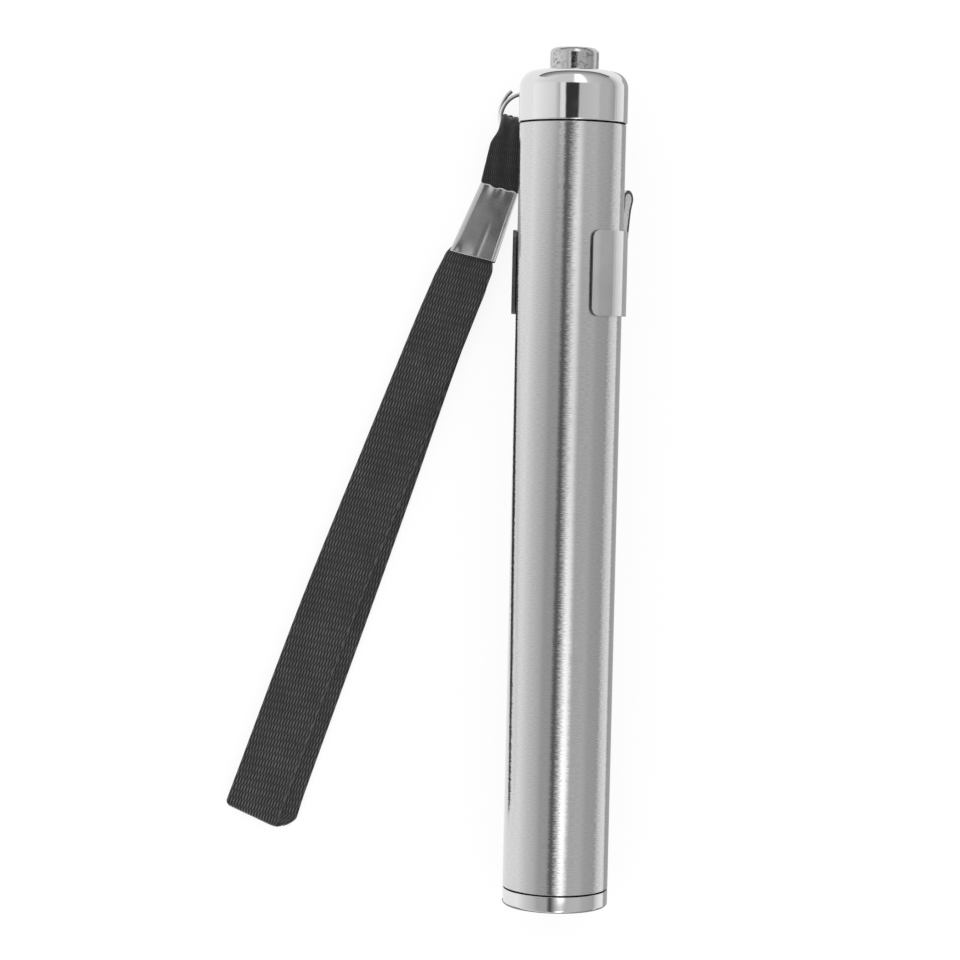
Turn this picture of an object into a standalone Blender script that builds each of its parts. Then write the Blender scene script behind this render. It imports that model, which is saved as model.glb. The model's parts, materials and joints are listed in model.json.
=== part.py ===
"""Pen-style egg candler: a slim steel torch with a tail push switch, a pocket clip and a wrist strap.

The torch is drawn along its own axis, z = 0 at the light end and z rising to the tail button, and
then laid on a table: the light end's rim, the clip's hairpin and the lanyard ear are its feet.
Angles round the barrel start at the side that faces up and grow towards +X.
"""
import math

import bmesh
import bpy
from mathutils import Matrix, Vector

MM = 0.001

# Barrel
TUBE_OD = 14.5 * MM
TUBE_WALL = 0.9 * MM
TUBE_LENGTH = 104.5 * MM
REBATE_DEPTH = 0.6 * MM
REBATE_RIM = 0.5 * MM
EDGE = 0.2 * MM
SEAL_CHAMFER = 0.55 * MM

# Fits
PLAY = 0.1 * MM
SEAT_GAP = 0.05 * MM
HEAD_SEAM = 0.2 * MM
TAIL_SEAM = 0.35 * MM

# Light end
BEZEL_LENGTH = 2.3 * MM
BEZEL_LIP = 0.75 * MM
BEZEL_OPENING = 10.0 * MM
BEZEL_NECK_LENGTH = 3.7 * MM
BEZEL_NECK_WALL = 0.4 * MM
BEZEL_ROUND = 0.35 * MM
BEZEL_CHAMFER = 0.15 * MM
GASKET_THICKNESS = 0.35 * MM
LENS_THICKNESS = 1.2 * MM
REFLECTOR_DEPTH = 5.0 * MM
REFLECTOR_WALL = 0.4 * MM
REFLECTOR_THROAT = 3.5 * MM
LED_DIAMETER = 2.9 * MM
LED_BASE = 0.6 * MM
BOARD_THICKNESS = 1.0 * MM
HOLDER_SHELF = 1.0 * MM
HOLDER_OPENING = 7.2 * MM
INSULATOR_THICKNESS = 0.6 * MM
CONTACT_FLANGE = 5.6 * MM
CONTACT_TIP = 3.0 * MM
CONTACT_FLANGE_THICKNESS = 0.4 * MM
CONTACT_HEIGHT = 2.1 * MM
HEAD_RING_SECTION = 0.36 * MM

# Cells
CELL_DIAMETER = 10.5 * MM
CELL_LENGTH = 44.5 * MM
NUB_DIAMETER = 3.8 * MM
NUB_HEIGHT = 1.0 * MM
CELL_ROUND = 0.4 * MM
SLEEVE_BORE_PLAY = 0.2 * MM
BUSH_GAP = 0.4 * MM

# Tail cap and its thread
CAP_PROUD = 0.15 * MM
CAP_LENGTH = 7.0 * MM
CAP_FILLET = 2.3 * MM
CAP_TOP = 1.2 * MM
CAP_BOSS_WALL = 1.0 * MM
CAP_BOSS_HEIGHT = 0.32 * MM
NECK_WALL = 0.65 * MM
NECK_LENGTH = 5.6 * MM
NECK_LEAD = 0.3 * MM
NECK_BUSH_PLAY = 0.25 * MM
THREAD_PITCH = 1.25 * MM
THREAD_HEIGHT = 0.45 * MM
THREAD_TURNS = 2.5
THREAD_FOOT_SHARE = 0.72
THREAD_CREST_SHARE = 0.16
TAIL_RING_SECTION = 0.6 * MM
TAIL_RING_GROOVE_DEPTH = 0.15 * MM
TAIL_RING_GROOVE_WIDTH = 0.8 * MM

# Push button and switch
BUTTON_DIAMETER = 6.65 * MM
BUTTON_PROUD = 3.1 * MM
BUTTON_TRAVEL = 1.5 * MM
BUTTON_ROUND = 0.7 * MM
BUTTON_PLAY = 0.12 * MM
FLANGE_LIP = 0.775 * MM
FLANGE_PLAY = 0.25 * MM
FLANGE_THICKNESS = 1.1 * MM
PLUNGER_DIAMETER = 3.0 * MM
PLUNGER_LENGTH = 4.9 * MM
SWITCH_TOP_CLEARANCE = 1.25 * MM
RETAINER_INSET = 1.0 * MM
RETAINER_THICKNESS = 0.8 * MM
RETAINER_OPENING = 6.2 * MM
PLATE_THICKNESS = 0.4 * MM
RETURN_SPRING_RADIUS = 3.0 * MM
RETURN_SPRING_WIRE = 0.4 * MM
RETURN_SPRING_TURNS = 2.25
CELL_SPRING_RADIUS = 2.6 * MM
CELL_SPRING_TIP_RADIUS = 1.7 * MM
CELL_SPRING_WIRE = 0.5 * MM
CELL_SPRING_TURNS = 2.5

# Pocket clip, one strip of spring steel
CLIP_SHEET = 0.5 * MM
CLIP_FIT = 0.1 * MM
CLIP_DROP = 14.3 * MM
CLIP_ANGLE = math.radians(145.9)
COLLAR_LENGTH = 11.5 * MM
COLLAR_HALF_WRAP = math.radians(124.2)
COLLAR_CORNER = 1.0 * MM
CLIP_WIDTH = 7.75 * MM
CLIP_LEG = 4.65 * MM
HAIRPIN_RADIUS = 0.8 * MM
CLIP_SPLIT = 0.3 * MM
ARM_LENGTH = 32.0 * MM
ARM_TIP_WIDTH = 5.0 * MM
ARM_TIP_CORNER = 1.6 * MM
ARM_GRIP_GAP = 0.35 * MM
FLARE_RADIUS = 10.0 * MM
FLARE_ANGLE = math.radians(15.0)

# Lanyard plate, split ring, ferrule and strap
EAR_ANGLE = math.radians(202.5)
EAR_REACH = 1.93 * MM
EAR_RADIUS = 2.15 * MM
EAR_HOLE = 2.2 * MM
EAR_PLATE = 0.5 * MM
EAR_NOTCH_PLAY = 0.3 * MM
RING_RADIUS = 3.4 * MM
RING_WIRE = 0.56 * MM
RING_PITCH = 0.97 * MM
RING_TURNS = 1.9
RING_CUT_ANGLE = math.radians(118.0)
RING_LIE = math.radians(148.0)
STRAP_THICKNESS = 0.9 * MM
STRAP_WIDTH = 7.75 * MM
FOLD_WIDTH = 3.6 * MM
SPREAD_WIDTH = 7.4 * MM
NIP_WIDTH = 5.0 * MM
WEB_GAP = 0.3 * MM
FERRULE_WALL = 0.4 * MM
FERRULE_SIDE_PLAY = 0.4 * MM
FERRULE_TOP_PLAY = 0.25 * MM
FERRULE_CORNER = 1.0 * MM
FERRULE_START = (-3.26, -10.33)
FERRULE_END = (-7.03, -19.43)
TABLE_GAP = 0.05 * MM
SWING_OFFSET = (-1.2, -0.5)

# Mesh fineness
ROUND = 48
HIDDEN_ROUND = 32
WEDGE = math.radians(7.5)
STRAP_STEPS = 4
RING_STEPS = 24
CURL_STEPS = 10
EAR_STEPS = 16
HOLE_STEPS = 20
CUP_STEPS = 6
FOLD_STEPS = 6
FERRULE_STEPS = 24
CORNER_SHARES = (0.6, 0.3, 0.1, 0.0)
SHARP_ANGLE = math.radians(35.0)

# Radii and stations that follow from the sizes above
TUBE_R = TUBE_OD / 2
BORE_R = TUBE_R - TUBE_WALL
TUBE_START = BEZEL_LENGTH + HEAD_SEAM
TUBE_END = TUBE_START + TUBE_LENGTH

NECK_R = BORE_R - PLAY
BEZEL_BORE_R = NECK_R - BEZEL_NECK_WALL
OPTIC_R = BEZEL_BORE_R - PLAY
BEZEL_END = BEZEL_LENGTH + BEZEL_NECK_LENGTH
GASKET_START = BEZEL_LIP + PLAY
LENS_START = GASKET_START + GASKET_THICKNESS + PLAY
REFLECTOR_START = LENS_START + LENS_THICKNESS + PLAY
BOARD_START = REFLECTOR_START + REFLECTOR_DEPTH + PLAY
SHELF_START = BOARD_START + BOARD_THICKNESS + PLAY
INSULATOR_START = SHELF_START + HOLDER_SHELF + PLAY
CONTACT_START = BOARD_START + BOARD_THICKNESS + PLAY
CELL_START = CONTACT_START + CONTACT_HEIGHT + PLAY
CELL_PITCH = CELL_LENGTH + PLAY
CELLS_END = CELL_START + CELL_PITCH + CELL_LENGTH

BUTTON_R = BUTTON_DIAMETER / 2
FLANGE_R = BUTTON_R + FLANGE_LIP
CAP_BORE_R = FLANGE_R + FLANGE_PLAY
SHOULDER = TUBE_END + TAIL_SEAM
CAP_R = TUBE_R + CAP_PROUD
CAP_END = SHOULDER + CAP_LENGTH
CAP_ROOF = CAP_END - CAP_TOP
THREAD_ROOT_R = CAP_BORE_R + NECK_WALL
BOSS_R = THREAD_ROOT_R + CAP_BOSS_WALL
THREAD_CREST_R = THREAD_ROOT_R + THREAD_HEIGHT
BUSH_BORE_R = THREAD_CREST_R + NECK_BUSH_PLAY
NECK_END = SHOULDER - NECK_LENGTH
GROOVE_END = SHOULDER - CAP_BOSS_HEIGHT - TAIL_RING_GROOVE_WIDTH
REBATE_R = TUBE_R - REBATE_RIM
REBATE_FLOOR = TUBE_END - REBATE_DEPTH
PLATE_START = REBATE_FLOOR + SEAT_GAP

BUTTON_END = CAP_END + BUTTON_PROUD
BUTTON_START = CAP_ROOF - PLAY - FLANGE_THICKNESS
SWITCH_R = CAP_BORE_R - PLAY
SWITCH_END = BUTTON_START - BUTTON_TRAVEL - SWITCH_TOP_CLEARANCE
RETAINER_START = NECK_END + RETAINER_INSET
CONTACT_PLATE_START = RETAINER_START + RETAINER_THICKNESS + PLAY
SWITCH_START = CONTACT_PLATE_START + PLATE_THICKNESS + PLAY
PLUNGER_END = BUTTON_START - PLAY
PLUNGER_START = PLUNGER_END - PLUNGER_LENGTH

COLLAR_END = TUBE_END - CLIP_DROP
COLLAR_START = COLLAR_END - COLLAR_LENGTH
COLLAR_R = TUBE_R + CLIP_FIT
HAIRPIN_Z = COLLAR_END + CLIP_LEG
HAIRPIN_R = COLLAR_R + CLIP_SHEET + HAIRPIN_RADIUS
HAIRPIN_MID = HAIRPIN_RADIUS + CLIP_SHEET / 2
HAIRPIN_START = COLLAR_LENGTH + CLIP_LEG
HAIRPIN_APEX = HAIRPIN_START + HAIRPIN_MID * math.pi / 2
ARM_INNER_R = HAIRPIN_R + HAIRPIN_RADIUS
ARM_LEAN = math.asin((ARM_INNER_R - TUBE_R - ARM_GRIP_GAP) / ARM_LENGTH)
ARM_START = HAIRPIN_START + HAIRPIN_MID * (math.pi + ARM_LEAN)
FLARE_START = ARM_START + ARM_LENGTH
ARM_END = FLARE_START + FLARE_RADIUS * (FLARE_ANGLE + ARM_LEAN)

# How the torch lies: on the light end's rim and on the clip's lower hairpin corner
CLIP_OUTER_R = ARM_INNER_R + CLIP_SHEET
CLIP_LOW = -CLIP_OUTER_R * math.cos(CLIP_ANGLE) + CLIP_WIDTH / 2 * math.sin(CLIP_ANGLE)
CLIP_RIGHT = CLIP_OUTER_R * math.sin(CLIP_ANGLE) - CLIP_WIDTH / 2 * math.cos(CLIP_ANGLE)
LEAN = math.atan2(CLIP_LOW - TUBE_R, HAIRPIN_Z)
HEAD_HEIGHT = TUBE_R * math.cos(LEAN)

EAR_R = TUBE_R + EAR_REACH
EAR_Z = PLATE_START + EAR_PLATE / 2
RING_DX = EAR_R * math.sin(EAR_ANGLE) + RING_RADIUS * math.cos(RING_LIE)
RING_LEFT = RING_DX - RING_RADIUS - RING_WIRE / 2
AXIS_X = -(CLIP_RIGHT + RING_LEFT) / 2
AXIS_Y = -(BUTTON_END * math.cos(LEAN) - TUBE_R * math.sin(LEAN)) / 2
LAID_DOWN = Matrix.Rotation(LEAN - math.pi / 2, 4, "X")
TORCH_TO_ROW = Matrix.Translation((AXIS_X, AXIS_Y, HEAD_HEIGHT)) @ LAID_DOWN


def round_point(radius, angle, z):
    """A point at this radius and angle round the barrel."""
    return Vector((radius * math.sin(angle), -radius * math.cos(angle), z))


EAR_POINT = TORCH_TO_ROW @ round_point(EAR_R, EAR_ANGLE, EAR_Z)
RING_CENTRE = EAR_POINT + RING_RADIUS * Vector((math.cos(RING_LIE), math.sin(RING_LIE), 0.0))
RING_HALF_RISE = RING_PITCH * RING_TURNS / 2
FERRULE_WIDTH = NIP_WIDTH + 2 * (FERRULE_SIDE_PLAY + FERRULE_WALL)
FERRULE_HEIGHT = 2 * (STRAP_THICKNESS + FERRULE_TOP_PLAY + FERRULE_WALL) + WEB_GAP
FERRULE_Z = FERRULE_HEIGHT / 2 + TABLE_GAP
STRAP_PIVOT = RING_CENTRE + Vector((*SWING_OFFSET, 0.0)) * MM

# Heights of the webbing's middle, upper and lower layer: round the ring, in the ferrule, on the table
LAYER_STEP = STRAP_THICKNESS + WEB_GAP
RING_STEP = RING_HALF_RISE + RING_WIRE / 2 + SEAT_GAP + STRAP_THICKNESS / 2
AT_RING = (RING_CENTRE.z + RING_STEP, RING_CENTRE.z - RING_STEP)
IN_FERRULE = (FERRULE_Z + LAYER_STEP / 2, FERRULE_Z - LAYER_STEP / 2)
ON_TABLE = (STRAP_THICKNESS / 2 + PLAY + LAYER_STEP, STRAP_THICKNESS / 2 + PLAY)

# The strap's route from the ring to the far fold: heights, width of the web, and the plan
# positions of the upper and the lower layer in millimetres from the ring's centre.
ROUTE = (
    (AT_RING, FOLD_WIDTH, (-1.45, -1.6), (-1.45, -1.6)),
    (AT_RING, NIP_WIDTH, (-2.1, -4.6), (-2.1, -4.6)),
    (IN_FERRULE, NIP_WIDTH, (-3.05, -9.8), (-3.05, -9.8)),
    (IN_FERRULE, NIP_WIDTH, (-5.14, -14.9), (-5.14, -14.9)),
    (IN_FERRULE, NIP_WIDTH, (-7.25, -20.0), (-7.25, -20.0)),
    (IN_FERRULE, SPREAD_WIDTH, (-8.7, -23.6), (-8.5, -23.6)),
    (ON_TABLE, STRAP_WIDTH, (-11.95, -31.5), (-11.3, -31.5)),
    (ON_TABLE, STRAP_WIDTH, (-20.0, -52.6), (-18.6, -52.6)),
    (ON_TABLE, STRAP_WIDTH, (-26.4, -69.4), (-24.2, -69.4)),
    (ON_TABLE, STRAP_WIDTH, (-35.5, -94.7), (-32.7, -93.8)),
    (ON_TABLE, STRAP_WIDTH, (-36.3, -97.0), (-33.5, -96.1)),
)
UPPER, LOWER = 0, 1


def clear_scene():
    for obj in list(bpy.data.objects):
        bpy.data.objects.remove(obj, do_unlink=True)


def material(name, colour, roughness, metallic=0.0, alpha=1.0):
    """A plain Principled finish."""
    mat = bpy.data.materials.new(name)
    mat.use_nodes = True
    shader = mat.node_tree.nodes["Principled BSDF"]
    shader.inputs["Base Color"].default_value = (*colour, 1.0)
    shader.inputs["Roughness"].default_value = roughness
    shader.inputs["Metallic"].default_value = metallic
    shader.inputs["Alpha"].default_value = alpha
    return mat


def pivot(name, parent, point):
    """An empty at a joint; its pieces are drawn in the parent's frame and moved to it."""
    empty = bpy.data.objects.new(name, None)
    bpy.context.scene.collection.objects.link(empty)
    empty.parent = parent
    empty.location = point
    return empty


def add_mesh(name, bm, holder, mat):
    """Store a closed mesh, drawn in the frame that its holder sits in, as a named piece."""
    bmesh.ops.recalc_face_normals(bm, faces=bm.faces)
    bm.transform(Matrix.Translation(-holder.location))
    mesh = bpy.data.meshes.new(name)
    bm.to_mesh(mesh)
    bm.free()
    mesh.shade_smooth()
    mesh.set_sharp_from_angle(angle=SHARP_ANGLE)
    mesh.materials.append(mat)
    obj = bpy.data.objects.new(name, mesh)
    bpy.context.scene.collection.objects.link(obj)
    obj.parent = holder
    return obj


def boolean(obj, tool, operation):
    """Cut or join another shape, which then only guides."""
    modifier = obj.modifiers.new(tool.name, "BOOLEAN")
    modifier.operation = operation
    modifier.solver = "EXACT"
    modifier.object = tool
    tool.hide_render = True
    tool.display_type = "WIRE"


def arc(radius, z, size, start, end, steps=4):
    """Points of a round edge in an outline, from one angle to another in degrees."""
    points = []
    for i in range(steps + 1):
        angle = math.radians(start + (end - start) * i / steps)
        points.append((radius + size * math.cos(angle), z + size * math.sin(angle)))
    return points


def lathe(outline, segments=ROUND):
    """Spin a closed outline of radius and z points about the barrel's axis."""
    bm = bmesh.new()
    rings = []
    for radius, z in outline:
        count = segments if radius > PLAY / 1000 else 1
        rings.append([bm.verts.new(round_point(radius, math.tau * i / count, z)) for i in range(count)])
    for ring, following in zip(rings, rings[1:] + rings[:1]):
        for i in range(segments):
            j = (i + 1) % segments
            corners = (ring[i % len(ring)], ring[j % len(ring)],
                       following[j % len(following)], following[i % len(following)])
            corners = list(dict.fromkeys(corners))
            if len(corners) > 2:
                bm.faces.new(corners)
    return bm


def tube(inner, outer, start, end, segments=ROUND):
    """A plain ring between two radii."""
    return lathe([(inner, start), (outer, start), (outer, end), (inner, end)], segments)


def disc(radius, start, end, segments=HIDDEN_ROUND):
    return lathe([(0.0, start), (radius, start), (radius, end), (0.0, end)], segments)


def torus(radius, z, section, segments=HIDDEN_ROUND):
    return lathe(arc(radius, z, section / 2, 0.0, 315.0, 7), segments)


def flat_plate(loops, start, end):
    """A plate between two heights from an outline and its holes, each a list of x and y."""
    bm = bmesh.new()
    for loop in loops:
        verts = [bm.verts.new((x, y, start)) for x, y in loop]
        for i, vert in enumerate(verts):
            bm.edges.new((vert, verts[(i + 1) % len(verts)]))
    bmesh.ops.triangle_fill(bm, use_beauty=True, edges=bm.edges[:])
    grown = bmesh.ops.extrude_face_region(bm, geom=bm.faces[:])
    top = [item for item in grown["geom"] if isinstance(item, bmesh.types.BMVert)]
    bmesh.ops.translate(bm, verts=top, vec=(0.0, 0.0, end - start))
    return bm


def sheet_solid(cells, place, thickness):
    """A sheet of even thickness: cells are four corner keys, place gives a key's point at a depth."""
    bm = bmesh.new()
    lower, upper, uses = {}, {}, {}
    for cell in cells:
        for key in cell:
            if key not in lower:
                lower[key] = bm.verts.new(place(key, 0.0))
                upper[key] = bm.verts.new(place(key, thickness))
        bm.faces.new([lower[key] for key in reversed(cell)])
        bm.faces.new([upper[key] for key in cell])
        for i, key in enumerate(cell):
            edge = (key, cell[(i + 1) % len(cell)])
            uses[frozenset(edge)] = uses.get(frozenset(edge), []) + [edge]
    for found in uses.values():
        if len(found) == 1:
            a, b = found[0]
            bm.faces.new((lower[a], lower[b], upper[b], upper[a]))
    return bm


def least_gap(points, wire, skip):
    """The smallest clear space between parts of one wire that lie more than skip points apart."""
    pairs = [(one, two) for i, one in enumerate(points) for two in points[i + skip:]]
    return min((one - two).length for one, two in pairs) - wire


def coil(name, centre, axis_turn, radii, heights, turns, wire, steps, holder, mat):
    """One unbroken helical wire about z; radii and heights run from its first to its last point."""
    count = round(turns * steps)
    points = []
    for i in range(count + 1):
        part = i / count
        radius = radii[0] + (radii[1] - radii[0]) * part
        angle = axis_turn + math.tau * turns * part
        z = heights[0] + (heights[1] - heights[0]) * part
        points.append(centre + Vector((radius * math.cos(angle), radius * math.sin(angle), z)))
    print(name, "least gap to itself:", round(least_gap(points, wire, steps // 2) / MM, 3), "mm")
    curve = bpy.data.curves.new(name, "CURVE")
    curve.dimensions = "3D"
    curve.bevel_depth = wire / 2
    curve.bevel_resolution = 1
    curve.use_fill_caps = True
    spline = curve.splines.new("POLY")
    spline.points.add(count)
    for point, position in zip(spline.points, points):
        point.co = (*(position - holder.location), 1.0)
    curve.materials.append(mat)
    obj = bpy.data.objects.new(name, curve)
    bpy.context.scene.collection.objects.link(obj)
    obj.parent = holder
    return obj


def make_barrel(torch, steel, grey_plastic):
    """The brushed tube, open at both ends, with a rebate and a notch for the lanyard plate at the tail."""
    outline = [
        (BORE_R + SEAL_CHAMFER, TUBE_START),
        (TUBE_R - EDGE, TUBE_START),
        (TUBE_R, TUBE_START + EDGE),
        (TUBE_R, TUBE_END - EDGE),
        (TUBE_R - EDGE, TUBE_END),
        (REBATE_R, TUBE_END),
        (REBATE_R, REBATE_FLOOR),
        (BORE_R, REBATE_FLOOR),
        (BORE_R, TUBE_START + SEAL_CHAMFER),
    ]
    barrel = add_mesh("body_tube", lathe(outline), torch, steel)
    half = EAR_RADIUS + EAR_NOTCH_PLAY
    along = Vector((math.sin(EAR_ANGLE), -math.cos(EAR_ANGLE)))
    across = Vector((-along.y, along.x))
    corners = [along * reach + across * side for reach, side in
               ((BORE_R, -half), (EAR_R, -half), (EAR_R, half), (BORE_R, half))]
    notch = flat_plate([[tuple(c) for c in corners]], REBATE_FLOOR, TUBE_END + REBATE_DEPTH)
    boolean(barrel, add_mesh("ear_notch_cutter", notch, torch, steel), "DIFFERENCE")

    sleeve_bore = CELL_DIAMETER / 2 + SLEEVE_BORE_PLAY
    sleeve = tube(sleeve_bore, BORE_R - PLAY, CELL_START + 2 * PLAY, CELLS_END - PLAY)
    add_mesh("battery_sleeve", sleeve, torch, grey_plastic)
    bush = tube(BUSH_BORE_R, BORE_R - SEAT_GAP, CELLS_END + BUSH_GAP, REBATE_FLOOR - SEAT_GAP)
    add_mesh("threaded_bush", bush, torch, steel)


def make_head(torch, mats):
    """The bezel and, behind it, gasket, lens, reflector, lamp, board, holder, contact and insulator."""
    opening = BEZEL_OPENING / 2
    bezel = [(opening, BEZEL_CHAMFER), (opening + BEZEL_CHAMFER, 0.0)]
    bezel += arc(TUBE_R - BEZEL_ROUND, BEZEL_ROUND, BEZEL_ROUND, -90.0, 0.0)
    bezel += [
        (TUBE_R, BEZEL_LENGTH - EDGE),
        (TUBE_R - EDGE, BEZEL_LENGTH),
        (NECK_R, BEZEL_LENGTH),
        (NECK_R, BEZEL_END),
        (BEZEL_BORE_R, BEZEL_END),
        (BEZEL_BORE_R, BEZEL_LIP),
        (opening, BEZEL_LIP),
    ]
    add_mesh("head_bezel", lathe(bezel), torch, mats["polished"])

    ring_r = NECK_R + SEAT_GAP + HEAD_RING_SECTION / 2
    ring_z = BEZEL_LENGTH + SEAT_GAP + HEAD_RING_SECTION / 2
    add_mesh("head_o_ring", torus(ring_r, ring_z, HEAD_RING_SECTION), torch, mats["rubber"])

    gasket = tube(opening + PLAY, OPTIC_R, GASKET_START, LENS_START - PLAY, HIDDEN_ROUND)
    add_mesh("lens_gasket", gasket, torch, mats["rubber"])
    add_mesh("lens", disc(OPTIC_R, LENS_START, LENS_START + LENS_THICKNESS, ROUND), torch, mats["glass"])

    back = REFLECTOR_START + REFLECTOR_DEPTH
    throat = REFLECTOR_THROAT / 2
    rim = OPTIC_R - REFLECTOR_WALL
    cup = []
    for i in range(CUP_STEPS + 1):
        depth = i / CUP_STEPS
        radius = throat + (rim - throat) * math.sqrt(1.0 - depth)
        cup.append((radius, REFLECTOR_START + REFLECTOR_DEPTH * depth))
    shell = [(radius + REFLECTOR_WALL, z) for radius, z in reversed(cup)]
    add_mesh("reflector", lathe(cup + shell, HIDDEN_ROUND), torch, mats["mirror"])

    led_r = LED_DIAMETER / 2
    dome = arc(0.0, back - LED_BASE, led_r, -90.0, 0.0, 4)
    dome[0] = (0.0, dome[0][1])
    lamp = dome + [(led_r, back), (0.0, back)]
    add_mesh("led_emitter", lathe(lamp, HIDDEN_ROUND), torch, mats["phosphor"])
    add_mesh("led_board", disc(OPTIC_R, BOARD_START, BOARD_START + BOARD_THICKNESS), torch, mats["board"])

    hole = HOLDER_OPENING / 2
    holder = [
        (OPTIC_R + PLAY, BEZEL_END + PLAY),
        (NECK_R, BEZEL_END + PLAY),
        (NECK_R, SHELF_START + HOLDER_SHELF),
        (hole, SHELF_START + HOLDER_SHELF),
        (hole, SHELF_START),
        (OPTIC_R + PLAY, SHELF_START),
    ]
    add_mesh("led_holder", lathe(holder), torch, mats["aluminium"])

    flange = CONTACT_FLANGE / 2
    tip = CONTACT_TIP / 2
    contact = [
        (0.0, CONTACT_START),
        (flange, CONTACT_START),
        (flange, CONTACT_START + CONTACT_FLANGE_THICKNESS),
        (tip, CONTACT_START + CONTACT_FLANGE_THICKNESS),
        (tip, CONTACT_START + CONTACT_HEIGHT),
        (0.0, CONTACT_START + CONTACT_HEIGHT),
    ]
    add_mesh("positive_contact", lathe(contact, HIDDEN_ROUND), torch, mats["brass"])
    insulator = tube(flange + PLAY, NECK_R, INSULATOR_START, INSULATOR_START + INSULATOR_THICKNESS)
    add_mesh("insulator_ring", insulator, torch, mats["black_plastic"])


def make_cells(torch, wrapper):
    """Two cells in line, their nubs towards the light end."""
    cell_r = CELL_DIAMETER / 2
    nub_r = NUB_DIAMETER / 2
    for name, start in (("battery_front", CELL_START), ("battery_rear", CELL_START + CELL_PITCH)):
        shoulder = start + NUB_HEIGHT
        end = start + CELL_LENGTH
        outline = [(0.0, start), (nub_r, start), (nub_r, shoulder), (cell_r - CELL_ROUND, shoulder)]
        outline += [(cell_r, shoulder + CELL_ROUND), (cell_r, end - CELL_ROUND)]
        outline += [(cell_r - CELL_ROUND, end), (0.0, end)]
        add_mesh(name, lathe(outline, HIDDEN_ROUND), torch, wrapper)


def thread_ridge():
    """A helical ridge that stands on the cap's neck, its foot sunk a little into the neck."""
    steps = round(THREAD_TURNS * ROUND)
    foot = THREAD_ROOT_R - THREAD_HEIGHT / 3
    half_foot = THREAD_PITCH * THREAD_FOOT_SHARE / 2
    half_crest = THREAD_PITCH * THREAD_CREST_SHARE / 2
    crest = THREAD_CREST_R
    shape = [(foot, -half_foot), (crest, -half_crest), (crest, half_crest), (foot, half_foot)]
    low = NECK_END + (GROOVE_END - NECK_END - THREAD_PITCH * THREAD_TURNS) / 2
    bm = bmesh.new()
    sections = []
    for i in range(steps + 1):
        turn = math.tau * i / ROUND
        z = low + THREAD_PITCH * i / ROUND
        sections.append([bm.verts.new(round_point(radius, turn, z + rise)) for radius, rise in shape])
    for one, two in zip(sections, sections[1:]):
        for i in range(4):
            bm.faces.new((one[i], one[(i + 1) % 4], two[(i + 1) % 4], two[i]))
    bm.faces.new(reversed(sections[0]))
    bm.faces.new(sections[-1])
    return bm


def make_tail_cap(tail, mats):
    """The domed cap with its threaded neck, and the ring that seals it."""
    hole = BUTTON_R + BUTTON_PLAY
    groove_r = THREAD_ROOT_R - TAIL_RING_GROOVE_DEPTH
    outline = [
        (CAP_BORE_R, NECK_END),
        (CAP_BORE_R, CAP_ROOF),
        (hole, CAP_ROOF),
        (hole, CAP_END - EDGE),
        (hole + EDGE, CAP_END),
    ]
    outline += arc(CAP_R - CAP_FILLET, CAP_END - CAP_FILLET, CAP_FILLET, 90.0, 0.0, 6)
    outline += [
        (CAP_R, SHOULDER + EDGE),
        (CAP_R - EDGE, SHOULDER),
        (BOSS_R, SHOULDER),
        (BOSS_R, SHOULDER - CAP_BOSS_HEIGHT),
        (groove_r, SHOULDER - CAP_BOSS_HEIGHT),
        (groove_r, GROOVE_END),
        (THREAD_ROOT_R, GROOVE_END),
        (THREAD_ROOT_R, NECK_END + NECK_LEAD),
        (THREAD_ROOT_R - NECK_LEAD, NECK_END),
    ]
    cap = add_mesh("tail_cap", lathe(outline), tail, mats["polished"])
    boolean(cap, add_mesh("thread_guide", thread_ridge(), tail, mats["polished"]), "UNION")
    ring_r = groove_r + SEAT_GAP + TAIL_RING_SECTION / 2
    ring_z = SHOULDER - CAP_BOSS_HEIGHT - TAIL_RING_GROOVE_WIDTH / 2
    add_mesh("tail_o_ring", torus(ring_r, ring_z, TAIL_RING_SECTION), tail, mats["rubber"])


def make_switch(tail, mats):
    """The switch in the cap's neck: housing, contact plate, the ring that holds them, the cells' spring."""
    well = PLUNGER_DIAMETER / 2 + PLAY
    floor = PLUNGER_START - BUTTON_TRAVEL - 2 * PLAY
    housing = [(0.0, SWITCH_START), (SWITCH_R, SWITCH_START), (SWITCH_R, SWITCH_END), (well, SWITCH_END)]
    housing += [(well, floor), (0.0, floor)]
    add_mesh("switch_housing", lathe(housing, HIDDEN_ROUND), tail, mats["black_plastic"])
    plate = disc(SWITCH_R, CONTACT_PLATE_START, CONTACT_PLATE_START + PLATE_THICKNESS)
    add_mesh("switch_contact_plate", plate, tail, mats["brass"])
    retainer_end = RETAINER_START + RETAINER_THICKNESS
    retainer = tube(RETAINER_OPENING / 2, SWITCH_R, RETAINER_START, retainer_end, HIDDEN_ROUND)
    add_mesh("switch_retaining_ring", retainer, tail, mats["brass"])
    reach = CELL_SPRING_WIRE / 2 + PLAY
    coil("battery_spring", Vector((0.0, 0.0, 0.0)), 0.0, (CELL_SPRING_TIP_RADIUS, CELL_SPRING_RADIUS),
         (CELLS_END + reach, CONTACT_PLATE_START - reach), CELL_SPRING_TURNS, CELL_SPRING_WIRE, CURL_STEPS,
         tail, mats["spring"])


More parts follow.
